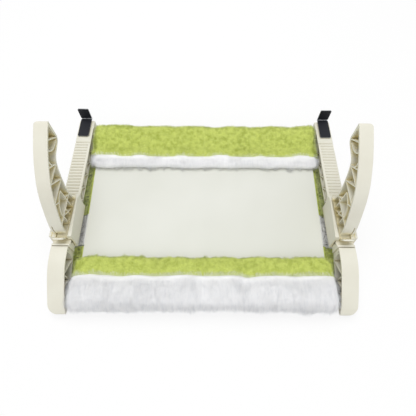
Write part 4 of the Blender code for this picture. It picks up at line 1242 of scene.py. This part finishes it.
def comb_roll(end, places, normals, comb, planted, top):
    inward, reach = end["inward"], reach_of(end, places)
    offset = places[:, 1:] - centre_of(end)
    comb[:, 1] = -offset[:, 1] * inward
    comb[:, 2] = offset[:, 0] * inward
    flap = (reach > 0) & top
    comb[flap, 1] = -inward
    comb[flap, 2] = FLAP_RISE
    near = np.linalg.norm(offset, axis=1) < BORE + BORE_SKIN
    planted[near | ((reach > 0.012) & (places[:, 2] < BOARD_TOP + BORE_SKIN))] = 0
    low = places[:, 2] < BOARD_TOP + SEAM_HEIGHT
    planted[(past_seam(end, places) > -SEAM_SKIN) & low] = 0
    planted[(reach > 0.018) & (normals[:, 2] < -0.2)] = 0


def comb_end(word, places, normals, comb, planted):
    """Comb a roll or a hem, and lean its pile over the seam between them."""
    end = ENDS[word.split("_")[0]]
    top = places[:, 2] > BOARD_TOP + 0.004
    if word.endswith("hem"):
        comb_hem(end, places, normals, comb, planted)
        side = 1
    else:
        comb_roll(end, places, normals, comb, planted, top)
        side = -1
    share = ramp(side * past_seam(end, places), at_seam(word)["blend"])
    blend = (share * share * (3 - 2 * share))[:, None]
    comb /= np.maximum(np.linalg.norm(comb, axis=1, keepdims=True), TINY)
    over = np.zeros_like(comb)
    over[:, 1] = -side * end["inward"] * at_seam(word)["lean"]
    comb[:] = np.where(top[:, None], over + (comb - over) * blend, comb)
    comb[:] *= np.where(np.abs(normals[:, :1]) > 0.6, END_FACE_LEAN, 1)


print("combing is ready for", len(strips), "strips")

# %% [markdown]
# The pile doesn't grow evenly. It is trimmed at the seams, thins out raggedly at a hem's free
# edge, and slow noise makes tufts of it longer or shorter. White pile has fine streaks as well.
# All of this is stored on the body as attributes, which the tree reads.

# %% Growth
HEM_FRAY = 0.010             # the pile thins out over this run before a hem's edge
FRAY, FRAY_SIZE, FRAY_SEED = 0.6, 0.010, 41
STIR, STIR_SIZE = 0.45, 0.05                           # slow turns of the combed pile
TUFT, TUFT_SIZE = 0.16, 0.024                          # longer and shorter tufts
FINE, FINE_SIZE = 0.14, 0.011                          # fine streaks of the white pile
STRETCH = np.array((1, 0.45, 0.45))                    # noise drawn out along the combed pile


def set_attribute(mesh, name, kind, values):
    """Store a value per vertex, over an older one of that name if there is one."""
    attribute = mesh.attributes.get(name) or mesh.attributes.new(name, kind, "POINT")
    key = "vector" if kind == "FLOAT_VECTOR" else "value"
    attribute.data.foreach_set(key, np.ascontiguousarray(values, dtype=np.float32).ravel())


def store_combing(mesh, comb, growth):
    set_attribute(mesh, "comb", "FLOAT_VECTOR", comb)
    set_attribute(mesh, "growth", "FLOAT", growth)


def seam_trim(word, places):
    """The pile is shorter where two strips are sewn together."""
    if word.startswith("mat"):
        return 1
    end, least = ENDS[word.split("_")[0]], at_seam(word)["length"]
    trim = least + (1 - least) * ramp(np.abs(past_seam(end, places)), SEAM_TRIM)
    if word.endswith("hem"):
        free = ramp(end["hem"] - 0.002 - reach_of(end, places), HEM_FRAY)
        ragged = 1 + FRAY * (1 - free) * smooth_noise(places * (1, 0.3, 0.3), FRAY_SIZE,
                                                     FRAY_SEED)
        trim *= (0.6 + 0.4 * free) * np.clip(ragged, 0.3, 1.8)
    return trim


def comb_strip(word, item, seed):
    """Store a body's comb directions and growth, and say where pile is planted."""
    places, normals = vertex_array(item.data), vertex_array(item.data, "normal")
    comb, planted = np.zeros_like(places), np.ones(len(places))
    (comb_mat if word.startswith("mat") else comb_end)(word, places, normals, comb, planted)
    comb[:, 0] += STIR * smooth_noise(places * STRETCH, STIR_SIZE, seed)
    growth = 1 + TUFT * smooth_noise(places, TUFT_SIZE, seed + 1)
    if word in WHITE_STRIPS:
        growth += FINE * smooth_noise(places * STRETCH, FINE_SIZE, seed + 2)
    store_combing(item.data, comb, np.clip(growth, 0.7, 1.3) * seam_trim(word, places))
    return planted


print("near its edge a hem thins out over", HEM_FRAY * 1000, "mm")

# %% [markdown]
# A real pile is so fine that it takes light as a soft surface, not as single hairs. The planted
# locks are coarser than real fibres, so their normals are turned part of the way to the normal
# of the body that they stand on. They keep their own outline, and shade like dense plush.

# %% One piece of pile
OWN_SHARE = 0.25             # how much of a lock's own normal is kept


def soften_normals(mesh):
    skin = np.empty(len(mesh.vertices) * 3, dtype=np.float32)
    mesh.attributes["skin"].data.foreach_get("vector", skin)
    blended = OWN_SHARE * vertex_array(mesh, "normal") + (1 - OWN_SHARE) * skin.reshape(-1, 3)
    blended /= np.maximum(np.linalg.norm(blended, axis=1, keepdims=True), TINY)
    mesh.shade_smooth()
    mesh.normals_split_custom_set_from_vertices(blended.tolist())


def grow_pile(name, item, planted, finish, settings):
    """One piece of pile over the part of a body where planted is 1."""
    pile = link_object(name, item.data.copy())
    set_attribute(pile.data, "planted", "FLOAT", planted)
    pile.data.materials.clear()
    modifier = pile.modifiers.new("pile", "NODES")
    modifier.node_group = PILE_TREE
    values = dict(settings, Material=finish)
    for socket in PILE_TREE.interface.items_tree:
        if socket.in_out == "INPUT" and socket.name in values:
            modifier[socket.identifier] = values[socket.name]
    bake_modifiers(pile)
    pile.data.materials.clear()
    pile.data.materials.append(finish)
    soften_normals(pile.data)
    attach(pile, "base")
    return pile


print("a lock keeps", OWN_SHARE, "of its own normal")

# %% [markdown]
# Three habits of pile, each with where it may go. The green pile is short, curly and spun every
# way, the white one long, thin and combed, and the mat's is pressed flat. From the mat's sides a
# denser pile runs out sideways and droops. A strip's pile is planted in parts, so that no piece
# grows too large, and the body below it is dressed.

# %% Planting
CURLY = {"Lock": CURLED_LOCK, "Spacing": 0.00110, "Length": 0.0045, "Width": 0.00028,
         "Lean": 0.6, "Jitter": 0.75, "Clump scale": 150.0, "Spin": 3.1}
COMBED = {"Lock": STRAIGHT_LOCK, "Spacing": 0.00125, "Length": 0.0082, "Width": 0.00017,
          "Lean": 1.3, "Jitter": 0.45, "Clump scale": 95.0, "Spin": 0.6}
FLAT = {"Lock": STRAIGHT_LOCK, "Spacing": 0.0024, "Length": 0.0085, "Width": 0.00075,
        "Lean": 1.5, "Jitter": 0.6, "Clump scale": 110.0, "Spin": 0.8}
SIDE_PILE = {"Spacing": 0.00085, "Length": 0.0150, "Width": 0.00046, "Lean": 1.6, "Jitter": 0.22}
SIDE_DROOP = -0.6
SIDE_FADE, SHORTEST_SIDE = 0.005, 0.35                 # shorter towards the board, down to this
LIP_PLACE = 0.204            # past this the lip's top carries side pile too


def comb_mat_side(places, normals):
    """Pile from the mat's sides runs out sideways and droops; high up it stays short."""
    comb = np.zeros_like(places)
    comb[:, 0] = np.sign(places[:, 0])
    comb[:, 2] = SIDE_DROOP
    below = BOARD_BOTTOM - 0.002 - places[:, 2]
    growth = np.clip(below / SIDE_FADE, SHORTEST_SIDE, 1)
    lip = (np.abs(places[:, 0]) > LIP_PLACE) & (normals[:, 2] > 0)
    return comb, growth, ((np.abs(normals[:, 0]) > FACES_END) | lip).astype(float)


def plant(word, colour, settings, seed, parts):
    """Grow the pile of one strip in parts along it, and dress the body below it."""
    item = strips[word]
    mat = word.startswith("mat")
    finish, backing = PLUSH[f"{colour} mat" if mat else colour]
    planted = comb_strip(word, item, seed)
    places, normals = vertex_array(item.data), vertex_array(item.data, "normal")
    edges = np.linspace(-NOSE_LIMIT, NOSE_LIMIT, parts + 1)
    piles = []
    for part, (low, high) in enumerate(zip(edges, edges[1:]), 1):
        within = (places[:, 0] >= low) & (places[:, 0] < high)
        piles.append(grow_pile(f"{word}_pile_{part}", item, planted * within, finish,
                               settings))
    if mat:
        comb, growth, sides = comb_mat_side(places, normals)
        store_combing(item.data, comb, growth)
        piles.append(grow_pile(f"{word}_side_pile", item, sides, finish,
                               {**settings, **SIDE_PILE}))
    item.data.materials.clear()
    item.data.materials.append(backing)
    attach(item, "base")
    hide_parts(word)
    print(word, sum(len(pile.data.polygons) for pile in piles), "pile faces")


ABOVE = 0.0002               # gap below the pile
NOSE_PLAY = 0.0018           # the front roll's long pile may reach this much further
BY_SLEEVE, BY_NOSE, NOSE_GAP = ({"Side limit": limit, "Low limit": limit}
                                for limit in (SIDE_LIMIT, NOSE_LIMIT, NOSE_LIMIT + NOSE_PLAY))
ON_FLOOR = {"Floor": ABOVE, **BY_SLEEVE}
ON_BOARD = {"Floor": BOARD_TOP + ABOVE, **BY_SLEEVE}
BY_HOOK = {"Low limit": NOSE_LIMIT, "Free from": 0.127}        # no sleeve slides this far back
UNDER_BOARD = {**ON_FLOOR, "Low limit": RAIL_REACH}
# A strip, its colour, how its pile grows, the seed of its combing and its number of parts.
PLANTING = (
    ("rear_roll", "green", {**CURLY, **ON_FLOOR, **BY_HOOK}, 21, 4),
    ("rear_hem", "white", {**COMBED, "Length": 0.0080, **ON_BOARD}, 22, 2),
    ("front_roll", "white", {**COMBED, "Length": 0.0092, **ON_FLOOR, **NOSE_GAP}, 23, 4),
    ("front_hem", "green", {**CURLY, **ON_BOARD, **BY_NOSE}, 24, 2),
    ("mat_rear_strip", "green", {**FLAT, **UNDER_BOARD}, 25, 2),
    ("mat_middle_strip", "white", {**FLAT, **UNDER_BOARD}, 26, 2),
    ("mat_front_strip", "green", {**FLAT, **UNDER_BOARD}, 27, 2),
)
for number, (word, colour, settings, seed, parts) in enumerate(PLANTING, 1):
    plant(word, colour, {**settings, "Seed": number}, seed, parts)

# %% [markdown]
# In the photograph the rear strips' pile fills the gap to the rails, just where a sleeve slides
# when its arm is pushed back.

# %% Fringes out to the rails
FRINGE_START = 0.2
FRINGE_TUFT, FRINGE_SIZE, FRINGE_SEED = 0.15, 0.012, 51
FRINGE = {"Spacing": 0.00085, "Length": 0.0066, "Lean": 0.9, "Jitter": 0.35, **BY_NOSE}


def add_fringes(word, colour, settings, rear_end):
    """Pile from a strip's two ends out to the rails, a piece of its own on each side."""
    item = strips[word]
    places, normals = vertex_array(item.data), vertex_array(item.data, "normal")
    comb = np.zeros_like(places)
    comb[:, 0] = np.sign(places[:, 0])
    growth = np.ones(len(places)) + FRINGE_TUFT * smooth_noise(places, FRINGE_SIZE, FRINGE_SEED)
    store_combing(item.data, comb, growth)
    outward = (np.abs(normals[:, 0]) > 0.25) & (places[:, 1] < rear_end)
    for side, sign in (("left", -1), ("right", 1)):
        here = outward & (places[:, 0] * sign > FRINGE_START)
        fringe = grow_pile(f"{word}_fringe_{side}", item, here.astype(float), PLUSH[colour][0],
                           settings)
        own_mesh(fringe)
        print(fringe.name, len(fringe.data.polygons), "pile faces")


add_fringes("rear_roll", "green", {**CURLY, **ON_FLOOR, **FRINGE, "Seed": 8}, rear_end=0.129)
add_fringes("rear_hem", "white", {**COMBED, **ON_BOARD, **FRINGE, "Seed": 9}, rear_end=1)
